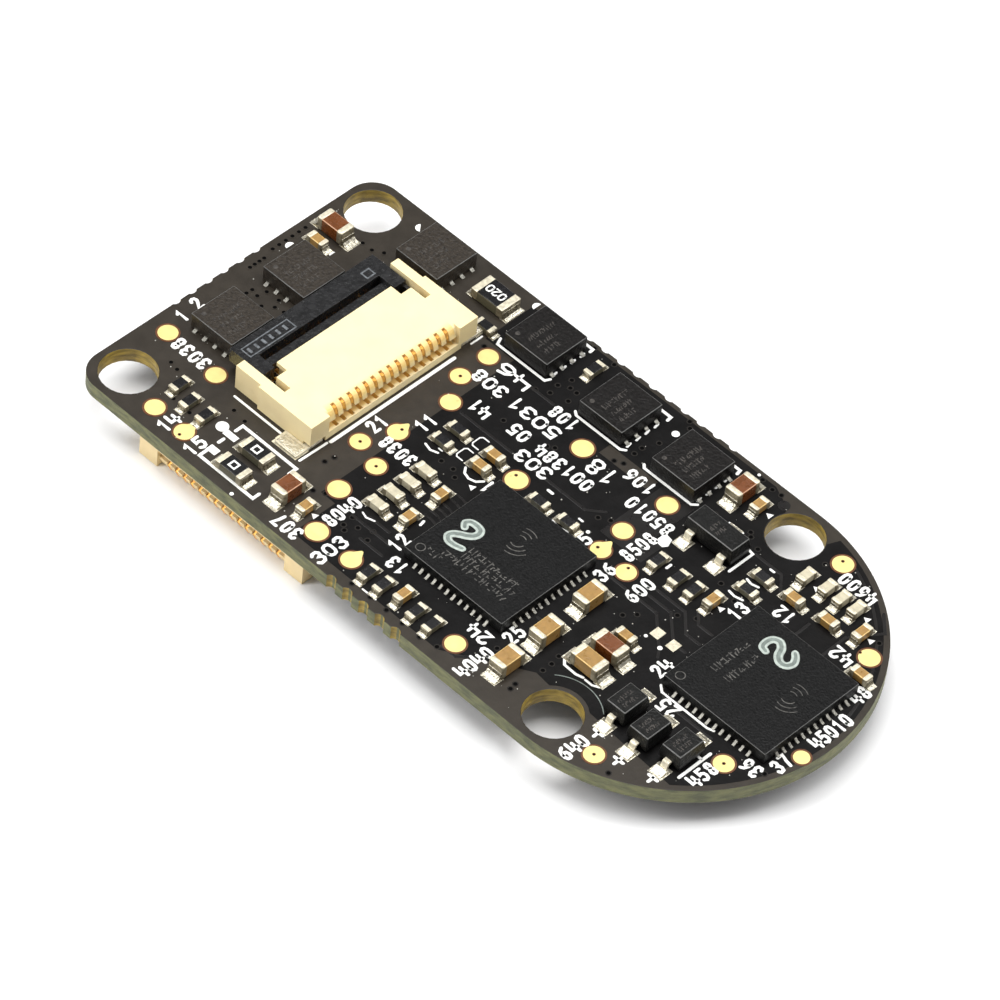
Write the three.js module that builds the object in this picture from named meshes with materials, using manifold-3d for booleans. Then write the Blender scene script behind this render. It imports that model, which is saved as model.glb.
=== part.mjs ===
// Flight controller board for a small drone: a round-ended circuit board with two ribbon-cable
// connectors, one on each face, two microcontrollers, six motor drivers and chip components.
// Millimetres, +Z up. The top of the board faces +Z and its round end points along -Y.
import * as THREE from "three";
import { mergeVertices } from "three/addons/utils/BufferGeometryUtils.js";
import Module from "manifold-3d";

// Board
const BOARD_WIDTH = 19.0;
const BOARD_LENGTH = 37.9;
const BOARD_THICKNESS = 0.8;
const CORNER_RADIUS = 1.4;
const HOLE_RADIUS = 1.38;
const HOLE_SPACING_X = 15.44;
const HOLE_SPACING_Y = 26.76;
const HOLE_FROM_FLAT_EDGE = 1.74;
const BITE_RADIUS = 0.3;
const BITE_PITCH = 1.0;
const DEEP_BITE_OFFSET = 0.12;
const SHALLOW_BITE_OFFSET = 0.19;

// Ribbon-cable connectors: x along the contact row, y from the mouth to the back, z off the board
const HOUSING_WIDTH = 10.5;
const HOUSING_HEIGHT = 1.45;
const BODY_DEPTH = 3.95;
const STEP_DEPTH = 3.3;
const NOTCH_DEPTH = 2.4;
const ARM_DEPTH = 5.0;
const ARM_OUTER = 5.1;
const ARM_INNER = 4.6;
const STEP_HALF_WIDTH = 3.6;
const NOTCH_HALF_WIDTH = 4.24;
const WIDE_DEPTH = 3.4;
const CONTACT_COUNT = 15;
const CONTACT_PITCH = 0.5;
const CONTACT_THICKNESS = 0.14;
const CONTACT_SLOT = 0.2;
const MOUTH_HALF_WIDTH = 4.1;
const MOUTH_LOW = 0.42;
const MOUTH_HIGH = 0.86;
const MOUTH_DEPTH = 2.1;
const PIVOT_Y = 2.92;
const PIVOT_Z = 0.74;
const PIN_RADIUS = 0.17;
const PIN_HOLE_RADIUS = 0.24;
const TAB_OUTER = 6.1;
const TAB_DEPTH = 1.5;
const TAB_THICKNESS = 0.15;
const LEVER_HALF_WIDTH = 4.5;
const LEVER_LENGTH = 6.05;
const LEVER_TOP = 1.3;
const LEVER_BOTTOM = 0.52;
const CAM_FRONT = 4.25;
const TOP_CONNECTOR = { x: 0.3, y: -10.6 };
const BOTTOM_CONNECTOR = { x: -9.25, y: -9.45 };

// Packages
const QFN_SIDE = 6.0;
const QFN_HEIGHT = 0.65;
const DRIVER_SIDE = 2.65;
const DRIVER_HEIGHT = 0.9;
const LARGE_CHIP = { length: 1.6, width: 0.87, height: 0.8 };
const SMALL_CHIP = { length: 1.0, width: 0.52, height: 0.48 };
// The capacitors that lie across the board are a shorter kind
const ACROSS_SHARE = 0.9;
const SHUNT = { length: 2.0, width: 1.25, height: 0.6 };
const FUSE = { length: 1.6, width: 0.8, height: 0.5 };
const DIODE = {
  width: 1.65,
  depth: 1.25,
  height: 0.9,
  leads: [
    [-1, 0],
    [1, 0],
  ],
  leadReach: 0.6,
  leadWidth: 0.35,
};
const REGULATOR = {
  width: 1.3,
  depth: 2.9,
  height: 1.0,
  leads: [
    [-1, -0.95],
    [-1, 0.95],
    [1, 0],
  ],
  leadReach: 0.5,
  leadWidth: 0.4,
};
const TERMINAL_SHARE = 0.22;
const TERMINAL_LIP = 0.02;
const SOLDER_GAP = 0.02;

const wasm = await Module();
wasm.setup();

const COLOURS = {
  board: { color: 0x2b2926, roughness: 0.45, metalness: 0 },
  housing: { color: 0xf2e6bf, roughness: 0.5, metalness: 0 },
  lever: { color: 0x26272b, roughness: 0.5, metalness: 0 },
  gold: { color: 0xe8b85a, roughness: 0.3, metalness: 1 },
  tin: { color: 0xd8d8cf, roughness: 0.3, metalness: 1 },
  chip: { color: 0x2e2e30, roughness: 0.55, metalness: 0 },
  tan: { color: 0xc89a55, roughness: 0.5, metalness: 0 },
  brown: { color: 0x7a4a2c, roughness: 0.45, metalness: 0 },
  grey: { color: 0xb9b7ab, roughness: 0.5, metalness: 0 },
};

// Geometry helpers

function toManifold(geometry) {
  const bare = geometry.clone();
  bare.deleteAttribute("normal");
  bare.deleteAttribute("uv");
  const merged = mergeVertices(bare, 1e-4);
  return new wasm.Manifold(
    new wasm.Mesh({
      numProp: 3,
      vertProperties: merged.attributes.position.array,
      triVerts: new Uint32Array(merged.index.array),
    }),
  );
}

function fromManifold(solid) {
  const mesh = solid.getMesh();
  const geometry = new THREE.BufferGeometry();
  geometry.setAttribute("position", new THREE.BufferAttribute(mesh.vertProperties, 3));
  geometry.setIndex(new THREE.BufferAttribute(mesh.triVerts, 1));
  geometry.computeVertexNormals();
  return geometry;
}

// A box from its low and high corners.
function block(low, high) {
  const size = high.map((value, axis) => value - low[axis]);
  const centre = high.map((value, axis) => (value + low[axis]) / 2);
  return new THREE.BoxGeometry(...size).translate(...centre);
}

function polygon(points) {
  return new THREE.Shape(points.map(([x, y]) => new THREE.Vector2(x, y)));
}

// A plan outline raised from low to high.
function raised(shape, low, high, curveSegments = 8) {
  const options = { depth: high - low, bevelEnabled: false, curveSegments };
  return new THREE.ExtrudeGeometry(shape, options).translate(0, 0, low);
}

// A side profile, drawn in y and z, swept along x from low to high.
function swept(shape, low, high, curveSegments = 8) {
  const geometry = raised(shape, 0, high - low, curveSegments);
  const turn = new THREE.Matrix4().makeBasis(
    new THREE.Vector3(0, 1, 0),
    new THREE.Vector3(0, 0, 1),
    new THREE.Vector3(1, 0, 0),
  );
  return geometry.applyMatrix4(turn).translate(low, 0, 0);
}

// A round bar along x.
function barAlongX(radius, low, high, y, z) {
  const bar = new THREE.CylinderGeometry(radius, radius, high - low, 16);
  return bar.rotateZ(Math.PI / 2).translate((low + high) / 2, y, z);
}

function named(name, geometry, look) {
  const mesh = new THREE.Mesh(geometry, new THREE.MeshStandardMaterial(look));
  mesh.name = name;
  return mesh;
}

// Board

// Runs a straight edge from one point to another, with half-round bites left by the panel's tabs.
function edgeWithBites(shape, from, to, biteCentres, biteOffset) {
  const along = new THREE.Vector2(to[0] - from[0], to[1] - from[1]).normalize();
  const outward = new THREE.Vector2(along.y, -along.x);
  const inwardAngle = Math.atan2(-outward.y, -outward.x);
  const halfAngle = Math.acos(biteOffset / BITE_RADIUS);
  const halfChord = BITE_RADIUS * Math.sin(halfAngle);
  for (const distance of biteCentres) {
    const x = from[0] + along.x * distance;
    const y = from[1] + along.y * distance;
    shape.lineTo(x - along.x * halfChord, y - along.y * halfChord);
    shape.absarc(
      x + outward.x * biteOffset,
      y + outward.y * biteOffset,
      BITE_RADIUS,
      inwardAngle + halfAngle,
      inwardAngle - halfAngle,
      true,
    );
  }
  shape.lineTo(to[0], to[1]);
}

function biteRow(first, count) {
  return Array.from({ length: count }, (_, i) => first + i * BITE_PITCH);
}

function boardOutline() {
  const half = BOARD_WIDTH / 2;
  const endCentre = half - BOARD_LENGTH;
  const shape = new THREE.Shape();
  shape.moveTo(-half, endCentre);
  for (const part of [3, 4, 5]) {
    shape.absarc(0, endCentre, half, (part * Math.PI) / 3, ((part + 1) * Math.PI) / 3, false);
  }
  const rightEnd = [half, -CORNER_RADIUS];
  edgeWithBites(shape, [half, endCentre], rightEnd, biteRow(5.4, 10), SHALLOW_BITE_OFFSET);
  shape.absarc(half - CORNER_RADIUS, -CORNER_RADIUS, CORNER_RADIUS, 0, Math.PI / 2, false);
  const flatEnd = [CORNER_RADIUS - half, 0];
  edgeWithBites(shape, [half - CORNER_RADIUS, 0], flatEnd, biteRow(6.2, 6), SHALLOW_BITE_OFFSET);
  shape.absarc(CORNER_RADIUS - half, -CORNER_RADIUS, CORNER_RADIUS, Math.PI / 2, Math.PI, false);
  const leftEnd = [-half, endCentre];
  edgeWithBites(shape, [-half, -CORNER_RADIUS], leftEnd, biteRow(15.25, 5), DEEP_BITE_OFFSET);
  for (const side of [-1, 1]) {
    for (const row of [0, 1]) {
      const x = (side * HOLE_SPACING_X) / 2;
      const y = -HOLE_FROM_FLAT_EDGE - row * HOLE_SPACING_Y;
      shape.holes.push(new THREE.Path().absarc(x, y, HOLE_RADIUS, 0, 2 * Math.PI, true));
    }
  }
  return shape;
}

function makeBoard() {
  const geometry = raised(boardOutline(), -BOARD_THICKNESS, 0, 14);
  return named("circuit_board", geometry, COLOURS.board);
}

// Ribbon-cable connector

function contactPlaces() {
  const first = (-(CONTACT_COUNT - 1) * CONTACT_PITCH) / 2;
  return Array.from({ length: CONTACT_COUNT }, (_, i) => first + i * CONTACT_PITCH);
}

function housingOutline() {
  const half = HOUSING_WIDTH / 2;
  const right = [
    [half, 0],
    [half, WIDE_DEPTH],
    [ARM_OUTER, WIDE_DEPTH],
    [ARM_OUTER, ARM_DEPTH],
    [ARM_INNER, ARM_DEPTH],
    [ARM_INNER, NOTCH_DEPTH],
    [NOTCH_HALF_WIDTH, NOTCH_DEPTH],
    [NOTCH_HALF_WIDTH, STEP_DEPTH],
    [STEP_HALF_WIDTH, STEP_DEPTH],
    [STEP_HALF_WIDTH, BODY_DEPTH],
  ];
  const left = right.map(([x, y]) => [-x, y]).reverse();
  return polygon([...right, ...left]);
}

// The curved lead-in above the mouth, as the space it leaves.
function leadInProfile() {
  const shape = new THREE.Shape();
  shape.moveTo(-0.3, 1.7);
  shape.lineTo(0.5, 1.7);
  shape.lineTo(0.5, HOUSING_HEIGHT);
  shape.quadraticCurveTo(0.2, HOUSING_HEIGHT - 0.05, 0.12, MOUTH_HIGH);
  shape.lineTo(-0.3, MOUTH_HIGH);
  return shape;
}

function makeHousing(prefix) {
  let solid = toManifold(raised(housingOutline(), SOLDER_GAP, HOUSING_HEIGHT));
  const leadIn = swept(leadInProfile(), -MOUTH_HALF_WIDTH, MOUTH_HALF_WIDTH, 5);
  solid = solid.subtract(toManifold(leadIn));
  const mouth = block(
    [-MOUTH_HALF_WIDTH, -0.3, MOUTH_LOW],
    [MOUTH_HALF_WIDTH, MOUTH_DEPTH, MOUTH_HIGH],
  );
  solid = solid.subtract(toManifold(mouth));
  for (const x of contactPlaces()) {
    const slot = block(
      [x - CONTACT_SLOT / 2, 0.06, 0.16],
      [x + CONTACT_SLOT / 2, BODY_DEPTH + 0.3, 1.22],
    );
    solid = solid.subtract(toManifold(slot));
    const groove = block([x - CONTACT_SLOT / 2, 0, 1.0], [x + CONTACT_SLOT / 2, 0.55, 1.6]);
    solid = solid.subtract(toManifold(groove));
  }
  for (const low of [-HOUSING_WIDTH / 2 - 0.1, 4.3]) {
    const high = low + HOUSING_WIDTH / 2 - 4.2;
    solid = solid.subtract(toManifold(block([low, -0.1, -0.1], [high, 0.44, 0.3])));
  }
  const pinHole = barAlongX(PIN_HOLE_RADIUS, -ARM_INNER - 0.25, ARM_INNER + 0.25, PIVOT_Y, PIVOT_Z);
  const ends = block([-ARM_INNER - 1, 2, 0.3], [-ARM_INNER + 0.1, 4, 1.2]);
  const otherEnds = ends.clone().translate(2 * ARM_INNER + 0.9, 0, 0);
  const pinHoles = toManifold(pinHole).intersect(toManifold(ends).add(toManifold(otherEnds)));
  return named(prefix + "_housing", fromManifold(solid.subtract(pinHoles)), COLOURS.housing);
}

// One spring contact: a tail on the board, a spine, a beam into the mouth and a beam at the back.
function contactProfile() {
  return polygon([
    [4.85, SOLDER_GAP],
    [4.85, 0.15],
    [4.2, 0.15],
    [4.0, 0.36],
    [2.75, 0.36],
    [2.75, 0.92],
    [3.5, 0.95],
    [3.5, 1.1],
    [2.4, 1.16],
    [0.5, 1.16],
    [0.46, 1.36],
    [0.28, 1.36],
    [0.18, 1.05],
    [0.3, 0.9],
    [0.6, 0.8],
    [0.9, 0.96],
    [2.25, 0.92],
    [2.25, 0.38],
    [0.7, 0.38],
    [0.7, 0.22],
    [3.98, 0.22],
    [4.15, SOLDER_GAP],
  ]);
}

function makeContact(name, x) {
  const half = CONTACT_THICKNESS / 2;
  return named(name, swept(contactProfile(), x - half, x + half), COLOURS.gold);
}

function makeLever(prefix) {
  const arm = LEVER_HALF_WIDTH;
  let solid = toManifold(block([-arm, 4.9, LEVER_BOTTOM], [arm, LEVER_LENGTH, LEVER_TOP]));
  solid = solid.add(toManifold(block([-arm, CAM_FRONT, 0.56], [arm, 4.68, 1.0])));
  for (const side of [-1, 1]) {
    const wideLow = side > 0 ? 3.78 : -arm;
    const wideHigh = side > 0 ? arm : -3.78;
    const wide = block([wideLow, 3.88, LEVER_BOTTOM], [wideHigh, 5, LEVER_TOP]);
    const tongueLow = side > 0 ? 4.32 : -arm;
    const tongueHigh = side > 0 ? arm : -4.32;
    const tongue = block([tongueLow, PIVOT_Y, PIVOT_Z - 0.2], [tongueHigh, 4, PIVOT_Z + 0.32]);
    const boss = barAlongX(0.32, tongueLow, tongueHigh, PIVOT_Y, PIVOT_Z);
    const pinLow = side > 0 ? 4.4 : -ARM_INNER - 0.2;
    const pinHigh = side > 0 ? ARM_INNER + 0.2 : -4.4;
    const pin = barAlongX(PIN_RADIUS, pinLow, pinHigh, PIVOT_Y, PIVOT_Z);
    for (const piece of [wide, tongue, boss, pin]) solid = solid.add(toManifold(piece));
  }
  return named(prefix + "_lever", fromManifold(solid), COLOURS.lever);
}

function makeSolderTab(name, side) {
  const inner = HOUSING_WIDTH / 2 + 0.02;
  const shape = polygon([
    [side * 4.4, 0.05],
    [side * TAB_OUTER, 0.05],
    [side * TAB_OUTER, TAB_DEPTH - 0.15],
    [side * (TAB_OUTER - 0.15), TAB_DEPTH],
    [side * inner, TAB_DEPTH],
    [side * inner, 0.38],
    [side * 4.4, 0.38],
  ]);
  return named(name, raised(shape, SOLDER_GAP, SOLDER_GAP + TAB_THICKNESS), COLOURS.tin);
}

function makeConnector(prefix, separateContacts) {
  const group = new THREE.Group();
  group.add(makeHousing(prefix), makeLever(prefix));
  group.add(makeSolderTab(prefix + "_solder_tab_left", -1));
  group.add(makeSolderTab(prefix + "_solder_tab_right", 1));
  if (separateContacts) {
    contactPlaces().forEach((x, i) => group.add(makeContact(`${prefix}_contact_${i + 1}`, x)));
  }
  return group;
}

// Packages, each standing on the board at its centre

function makeChip(name, width, depth, height, x, y) {
  const geometry = block(
    [-width / 2, -depth / 2, SOLDER_GAP],
    [width / 2, depth / 2, height],
  );
  const chip = named(name, geometry, COLOURS.chip);
  chip.position.set(x, y, 0);
  return chip;
}

// A chip component with a metal terminal wrapped round each end; it lies along x, or along y if turned.
function makeTwoTerminal(name, size, look, x, y, turned) {
  const { length, width, height } = size;
  const cap = length * TERMINAL_SHARE;
  let solid = toManifold(
    block(
      [-length / 2, -width / 2 + TERMINAL_LIP, SOLDER_GAP + TERMINAL_LIP],
      [length / 2, width / 2 - TERMINAL_LIP, height - TERMINAL_LIP],
    ),
  );
  for (const end of [-1, 1]) {
    const low = end > 0 ? length / 2 - cap : -length / 2;
    const terminal = block([low, -width / 2, SOLDER_GAP], [low + cap, width / 2, height]);
    solid = solid.add(toManifold(terminal));
  }
  const piece = named(name, fromManifold(solid), look);
  piece.position.set(x, y, 0);
  piece.rotation.z = turned ? Math.PI / 2 : 0;
  return piece;
}

// A moulded package, with bent leads that come out at half its height and stand on the board.
function makeMoulded(name, { width, depth, height, leads, leadReach, leadWidth }, x, y) {
  let solid = toManifold(block([-width / 2, -depth / 2, 0.1], [width / 2, depth / 2, height]));
  const inner = width / 2 - 0.1;
  for (const [side, along] of leads) {
    const profile = polygon([
      [inner, height * 0.45],
      [width / 2 + 0.22, height * 0.45],
      [width / 2 + 0.32, 0.14],
      [width / 2 + leadReach, 0.14],
      [width / 2 + leadReach, SOLDER_GAP],
      [width / 2 + 0.2, SOLDER_GAP],
      [width / 2 + 0.1, height * 0.45 - 0.12],
      [inner, height * 0.45 - 0.12],
    ]);
    const lead = swept(profile, -leadWidth / 2, leadWidth / 2);
    lead.rotateZ(side > 0 ? -Math.PI / 2 : Math.PI / 2).translate(0, along, 0);
    solid = solid.add(toManifold(lead));
  }
  const piece = named(name, fromManifold(solid), COLOURS.chip);
  piece.position.set(x, y, 0);
  return piece;
}

// Assembly, in the board's own frame: x = 0 on its centre line and y = 0 at its flat edge

const board = new THREE.Group();
board.add(makeBoard());

const topConnector = makeConnector("top_connector", true);
topConnector.position.set(TOP_CONNECTOR.x, TOP_CONNECTOR.y, 0);
board.add(topConnector);

const bottomConnector = makeConnector("bottom_connector", false);
bottomConnector.quaternion.setFromAxisAngle(new THREE.Vector3(1, 1, 0).normalize(), Math.PI);
bottomConnector.position.set(BOTTOM_CONNECTOR.x, BOTTOM_CONNECTOR.y, -BOARD_THICKNESS);
board.add(bottomConnector);

board.add(makeChip("microcontroller_1", QFN_SIDE, QFN_SIDE, QFN_HEIGHT, -3.2, -20.8));
board.add(makeChip("microcontroller_2", QFN_SIDE, QFN_SIDE, QFN_HEIGHT, 0.05, -33.5));

const driverPlaces = [
  [-2.4, -2.9],
  [2.1, -2.9],
  [7.5, -6.05],
  [7.5, -13.1],
  [7.05, -18.25],
  [7.0, -22.8],
];
driverPlaces.forEach(([x, y], i) => {
  const name = `motor_driver_${i + 1}`;
  board.add(makeChip(name, DRIVER_SIDE, DRIVER_SIDE, DRIVER_HEIGHT, x, y));
});
board.add(makeMoulded("voltage_regulator", REGULATOR, 4.8, -26.4));
board.add(makeTwoTerminal("current_shunt", SHUNT, COLOURS.chip, 7.87, -9.55, true));

const diodePlaces = [
  [-5.25, -30.5],
  [-5.55, -32.15],
  [-5.25, -33.8],
];
diodePlaces.forEach(([x, y], i) => board.add(makeMoulded(`diode_${i + 1}`, DIODE, x, y)));

[-8.4, -7.0].forEach((x, i) => {
  board.add(makeTwoTerminal(`marked_fuse_${i + 1}`, FUSE, COLOURS.chip, x, -9.3, true));
});

function addCapacitors(name, size, look, places) {
  places.forEach(([x, y, turned], i) => {
    const length = size.length * (turned ? 1 : ACROSS_SHARE);
    board.add(makeTwoTerminal(`${name}_${i + 1}`, { ...size, length }, look, x, y, turned));
  });
}

addCapacitors("large_brown_capacitor", LARGE_CHIP, COLOURS.brown, [
  [5.4, -1.6, true],
  [-7.49, -11.82, false],
  [7.7, -25.2, false],
  [-3.45, -27.75, true],
]);
addCapacitors("large_tan_capacitor", LARGE_CHIP, COLOURS.tan, [
  [-7.35, -25.3, false],
  [-4.85, -25.25, false],
  [-2.0, -25.12, false],
  [-4.72, -27.74, true],
]);
addCapacitors("small_grey_capacitor", SMALL_CHIP, COLOURS.grey, [
  [-5.1, -15.05, true],
  [-4.1, -15.05, true],
  [-3.1, -15.05, true],
  [-2.1, -15.05, true],
  [6.15, -30.55, false],
  [6.35, -31.65, false],
  [6.35, -32.5, false],
  [6.4, -33.35, false],
]);
addCapacitors("small_tan_capacitor", SMALL_CHIP, COLOURS.tan, [
  [4.25, -1.6, true],
  [-7.6, -13.05, false],
  [-4.6, -16.5, false],
  [-2.6, -16.5, false],
  [7.66, -26.3, false],
]);

// The part's origin is the centre of its box, at the lowest point
board.position.set(0, BOARD_LENGTH / 2, BOARD_THICKNESS + HOUSING_HEIGHT);

const flightController = new THREE.Group();
flightController.add(board);

export default flightController;
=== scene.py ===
import math
import random

import bmesh
import bpy
from mathutils import Matrix, Vector


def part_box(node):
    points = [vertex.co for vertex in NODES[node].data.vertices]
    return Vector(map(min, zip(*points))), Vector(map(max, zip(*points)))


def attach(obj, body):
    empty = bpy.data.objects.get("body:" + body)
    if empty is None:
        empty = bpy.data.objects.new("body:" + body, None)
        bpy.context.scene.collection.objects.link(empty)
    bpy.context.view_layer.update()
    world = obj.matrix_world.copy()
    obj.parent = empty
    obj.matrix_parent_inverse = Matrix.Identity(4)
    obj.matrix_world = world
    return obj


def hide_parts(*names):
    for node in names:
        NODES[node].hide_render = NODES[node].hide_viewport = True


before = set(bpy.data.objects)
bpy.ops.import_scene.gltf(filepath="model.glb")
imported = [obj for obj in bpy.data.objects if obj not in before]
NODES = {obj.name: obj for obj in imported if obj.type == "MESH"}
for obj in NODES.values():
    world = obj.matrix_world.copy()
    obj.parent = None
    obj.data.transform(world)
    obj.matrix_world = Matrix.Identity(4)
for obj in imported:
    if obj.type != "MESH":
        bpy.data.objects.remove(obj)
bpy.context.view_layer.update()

# All numbers below are millimetres in the board's own frame: x = 0 on its centre line, y = 0 at its
# flat edge, z = 0 on its top face. place() and TO_ROW turn them into the row's frame, in metres.
MM = 0.001
board_low, board_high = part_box("circuit_board")
ORIGIN = Vector(((board_low.x + board_high.x) / 2, board_high.y, board_high.z))
THICKNESS = (board_high.z - board_low.z) / MM
rng = random.Random(7)

# The board's round end has its centre at this y; screw holes run from the left one at the flat end, clockwise
END_CENTRE = -28.4
SCREW_HOLES = [(-7.72, -1.74), (7.72, -1.74), (7.72, -28.5), (-7.72, -28.5)]
CONTACT_COUNT = 15
CONTACT_PITCH = 0.5
TRACE_TOP = 0.012
ROUGHNESS_DRIFT = 0.1

TO_ROW = Matrix.Translation(ORIGIN) @ Matrix.Scale(MM, 4)


def place(x, y, z=0.0):
    return ORIGIN + Vector((x, y, z)) * MM


def node_box(node):
    low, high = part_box(node)
    return (low - ORIGIN) / MM, (high - ORIGIN) / MM


def centre(node):
    """The middle of a node in x and y, and its box."""
    low, high = node_box(node)
    return (low.x + high.x) / 2, (low.y + high.y) / 2, low, high


# ---- materials


def add(m, kind, **inputs):
    """Adds a shader node and sets its inputs by name."""
    node = m.node_tree.nodes.new("ShaderNode" + kind)
    for socket, value in inputs.items():
        node.inputs[socket.replace("_", " ")].default_value = value
    return node


def link(m, source, output, target, socket):
    m.node_tree.links.new(source.outputs[output], target.inputs[socket])


def ramp(m, source, output, *stops):
    """A colour ramp over a node's output, with stops of position and colour."""
    node = add(m, "ValToRGB")
    elements = node.color_ramp.elements
    for element, (position, colour) in zip(elements, stops):
        element.position = position
        element.color = [*colour, 1]
    for position, colour in stops[2:]:
        elements.new(position).color = [*colour, 1]
    link(m, source, output, node, "Fac")
    return node


def rgb(r, g, b):
    """8-bit display colour to linear."""
    return [((c / 255 + 0.055) / 1.055) ** 2.4 if c > 10 else c / 255 / 12.92 for c in (r, g, b)]


def material(name, colour, rough, metal=0.0, vary=0.12, grain=4000.0, relief=None, specular=0.5):
    """A surface whose 8-bit display colour and roughness drift with one noise.

    Its relief, given as a depth in millimetres and a grain, comes from a finer noise.
    """
    m = bpy.data.materials.new(name)
    m.use_nodes = True
    shader = m.node_tree.nodes["Principled BSDF"]
    shader.inputs["Metallic"].default_value = metal
    shader.inputs["Specular IOR Level"].default_value = specular
    coords = add(m, "TexCoord")
    noise = add(m, "TexNoise", Scale=grain, Detail=4.0)
    link(m, coords, "Object", noise, "Vector")
    dark = [c * (1 - vary) for c in rgb(*colour)]
    light = [min(c * (1 + vary), 1) for c in rgb(*colour)]
    link(m, ramp(m, noise, "Fac", (0.3, dark), (0.7, light)), "Color", shader, "Base Color")
    low, high = max(rough - ROUGHNESS_DRIFT, 0.05), min(rough + ROUGHNESS_DRIFT, 1.0)
    spread = add(m, "MapRange", To_Min=low, To_Max=high)
    link(m, noise, "Fac", spread, "Value")
    link(m, spread, "Result", shader, "Roughness")
    if relief:
        fine = add(m, "TexNoise", Scale=relief[1], Detail=3.0)
        link(m, coords, "Object", fine, "Vector")
        bump = add(m, "Bump", Strength=1.0, Distance=relief[0] * MM)
        link(m, fine, "Fac", bump, "Height")
        link(m, bump, "Normal", shader, "Normal")
    return m


def object_coords(m):
    return next(n for n in m.node_tree.nodes if n.type == "TEX_COORD")


def laminate(name, light, dark, layers, rough):
    """Cut glass-fibre laminate: thin cloth layers one above the other, with short streaks in each."""
    m = material(name, light, rough, vary=0.0, relief=(0.02, 12000))
    squeeze = add(m, "Mapping", Scale=(1400, 1400, layers / MM))
    link(m, object_coords(m), "Object", squeeze, "Vector")
    streaks = add(m, "TexNoise", Scale=1.0, Detail=5.0)
    link(m, squeeze, "Vector", streaks, "Vector")
    colours = ramp(m, streaks, "Fac", (0.35, rgb(*dark)), (0.65, rgb(*light)))
    link(m, colours, "Color", m.node_tree.nodes["Principled BSDF"], "Base Color")
    return m


MASK = material("solder_mask", (16, 15, 15), 0.36, vary=0.3, grain=900, relief=(0.008, 6000), specular=0.13)
POUR = material(
    "solder_mask_over_copper", (46, 40, 32), 0.4, vary=0.14, grain=1500, relief=(0.007, 7000), specular=0.35
)
TRACE = material(
    "solder_mask_over_trace", (24, 22, 21), 0.3, vary=0.12, grain=3000, relief=(0.003, 9000), specular=0.3
)
EDGE = laminate("board_edge", (114, 114, 74), (78, 82, 56), 5.0, 0.6)
BORE = laminate("hole_wall", (176, 150, 60), (112, 94, 36), 5.0, 0.5)
VIA = material("via_mask", (34, 31, 28), 0.4, vary=0.3, grain=9000, specular=0.2)
# Painted shade: a near-black disc stands for the dark inside of each via's and each test pad's small hole
VIA_PIT_SHADE = material("via_pit_painted_shade", (3, 3, 3), 0.7, vary=0.3, specular=0.05)
SILK = material("white_ink", (248, 248, 244), 0.6, vary=0.06, grain=9000, relief=(0.006, 26000))
DUST = material("dust", (190, 188, 180), 0.8, vary=0.2, grain=30000)
GOLD = material("gold_pad", (250, 229, 150), 0.32, metal=0.25, vary=0.05, grain=2500, relief=(0.004, 14000))
RIM = material("pad_rim", (98, 54, 18), 0.42, vary=0.25, grain=6000)
TIN = material("tinned_end", (222, 214, 190), 0.32, metal=0.35, vary=0.22, grain=5200, relief=(0.02, 12000))
# Painted shade: a darker tin for the steep sides of the components' tinned ends, whose tops use TIN
TIN_SHADED_SIDE = material(
    "tinned_side_painted_shade", (152, 142, 118), 0.36, metal=0.35, vary=0.4, grain=5200, relief=(0.02, 12000)
)
# Painted shade: a darker solder for the steep faces of the fillets
SOLDER_SHADED_SIDE = material(
    "solder_side_painted_shade", (126, 118, 98), 0.28, metal=0.7, vary=0.5, grain=6500, relief=(0.03, 7000)
)
SOLDER = material("solder", (204, 198, 180), 0.24, metal=0.7, vary=0.25, grain=6500, relief=(0.03, 7000))
PIN = material("pin_metal", (140, 138, 130), 0.36, metal=0.6, vary=0.25, grain=9000, relief=(0.008, 20000))
EPOXY = material(
    "chip_epoxy", (19, 19, 19), 0.34, vary=0.45, grain=7000, relief=(0.03, 9000), specular=0.14
)
DRIVER_EPOXY = material(
    "driver_epoxy", (22, 20, 19), 0.34, vary=0.45, grain=6000, relief=(0.03, 8000), specular=0.18
)
WARM_EPOXY = material(
    "warm_driver_epoxy", (47, 41, 34), 0.38, vary=0.4, grain=6000, relief=(0.03, 8000), specular=0.32
)
# Painted highlight: a lighter grey on the rounded top edges of chip bodies, where light catches them
CHIP_EDGE_HIGHLIGHT = material("chip_edge_painted_highlight", (92, 92, 90), 0.3, vary=0.3, grain=7000, relief=(0.004, 26000))
DIODE_EPOXY = material(
    "diode_epoxy", (22, 22, 21), 0.32, vary=0.4, grain=5000, relief=(0.035, 9000), specular=0.18
)
LASER = material("laser_mark", (84, 82, 78), 0.6, vary=0.75, grain=6000)
DRIVER_LASER = material("driver_laser_mark", (58, 54, 50), 0.6, vary=0.75, grain=6000)
PAINT = material("inspection_paint", (178, 188, 180), 0.5, vary=0.2, grain=5200, relief=(0.012, 12000))
PAINT_THIN = material(
    "inspection_paint_thin", (118, 128, 122), 0.5, vary=0.3, grain=5200, relief=(0.01, 12000)
)
GLASS = material("resistor_glass", (14, 13, 15), 0.24, vary=0.2, grain=7000, relief=(0.004, 30000))
# Painted shade: the ceramic, seen on the sides of resistors, the shunt and the fuses, is darkened to the
# shade those sides fall in
SHADED_ALUMINA = material("resistor_ceramic_painted_shade", (94, 90, 72), 0.5, vary=0.14, grain=9000, relief=(0.006, 30000))
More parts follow.
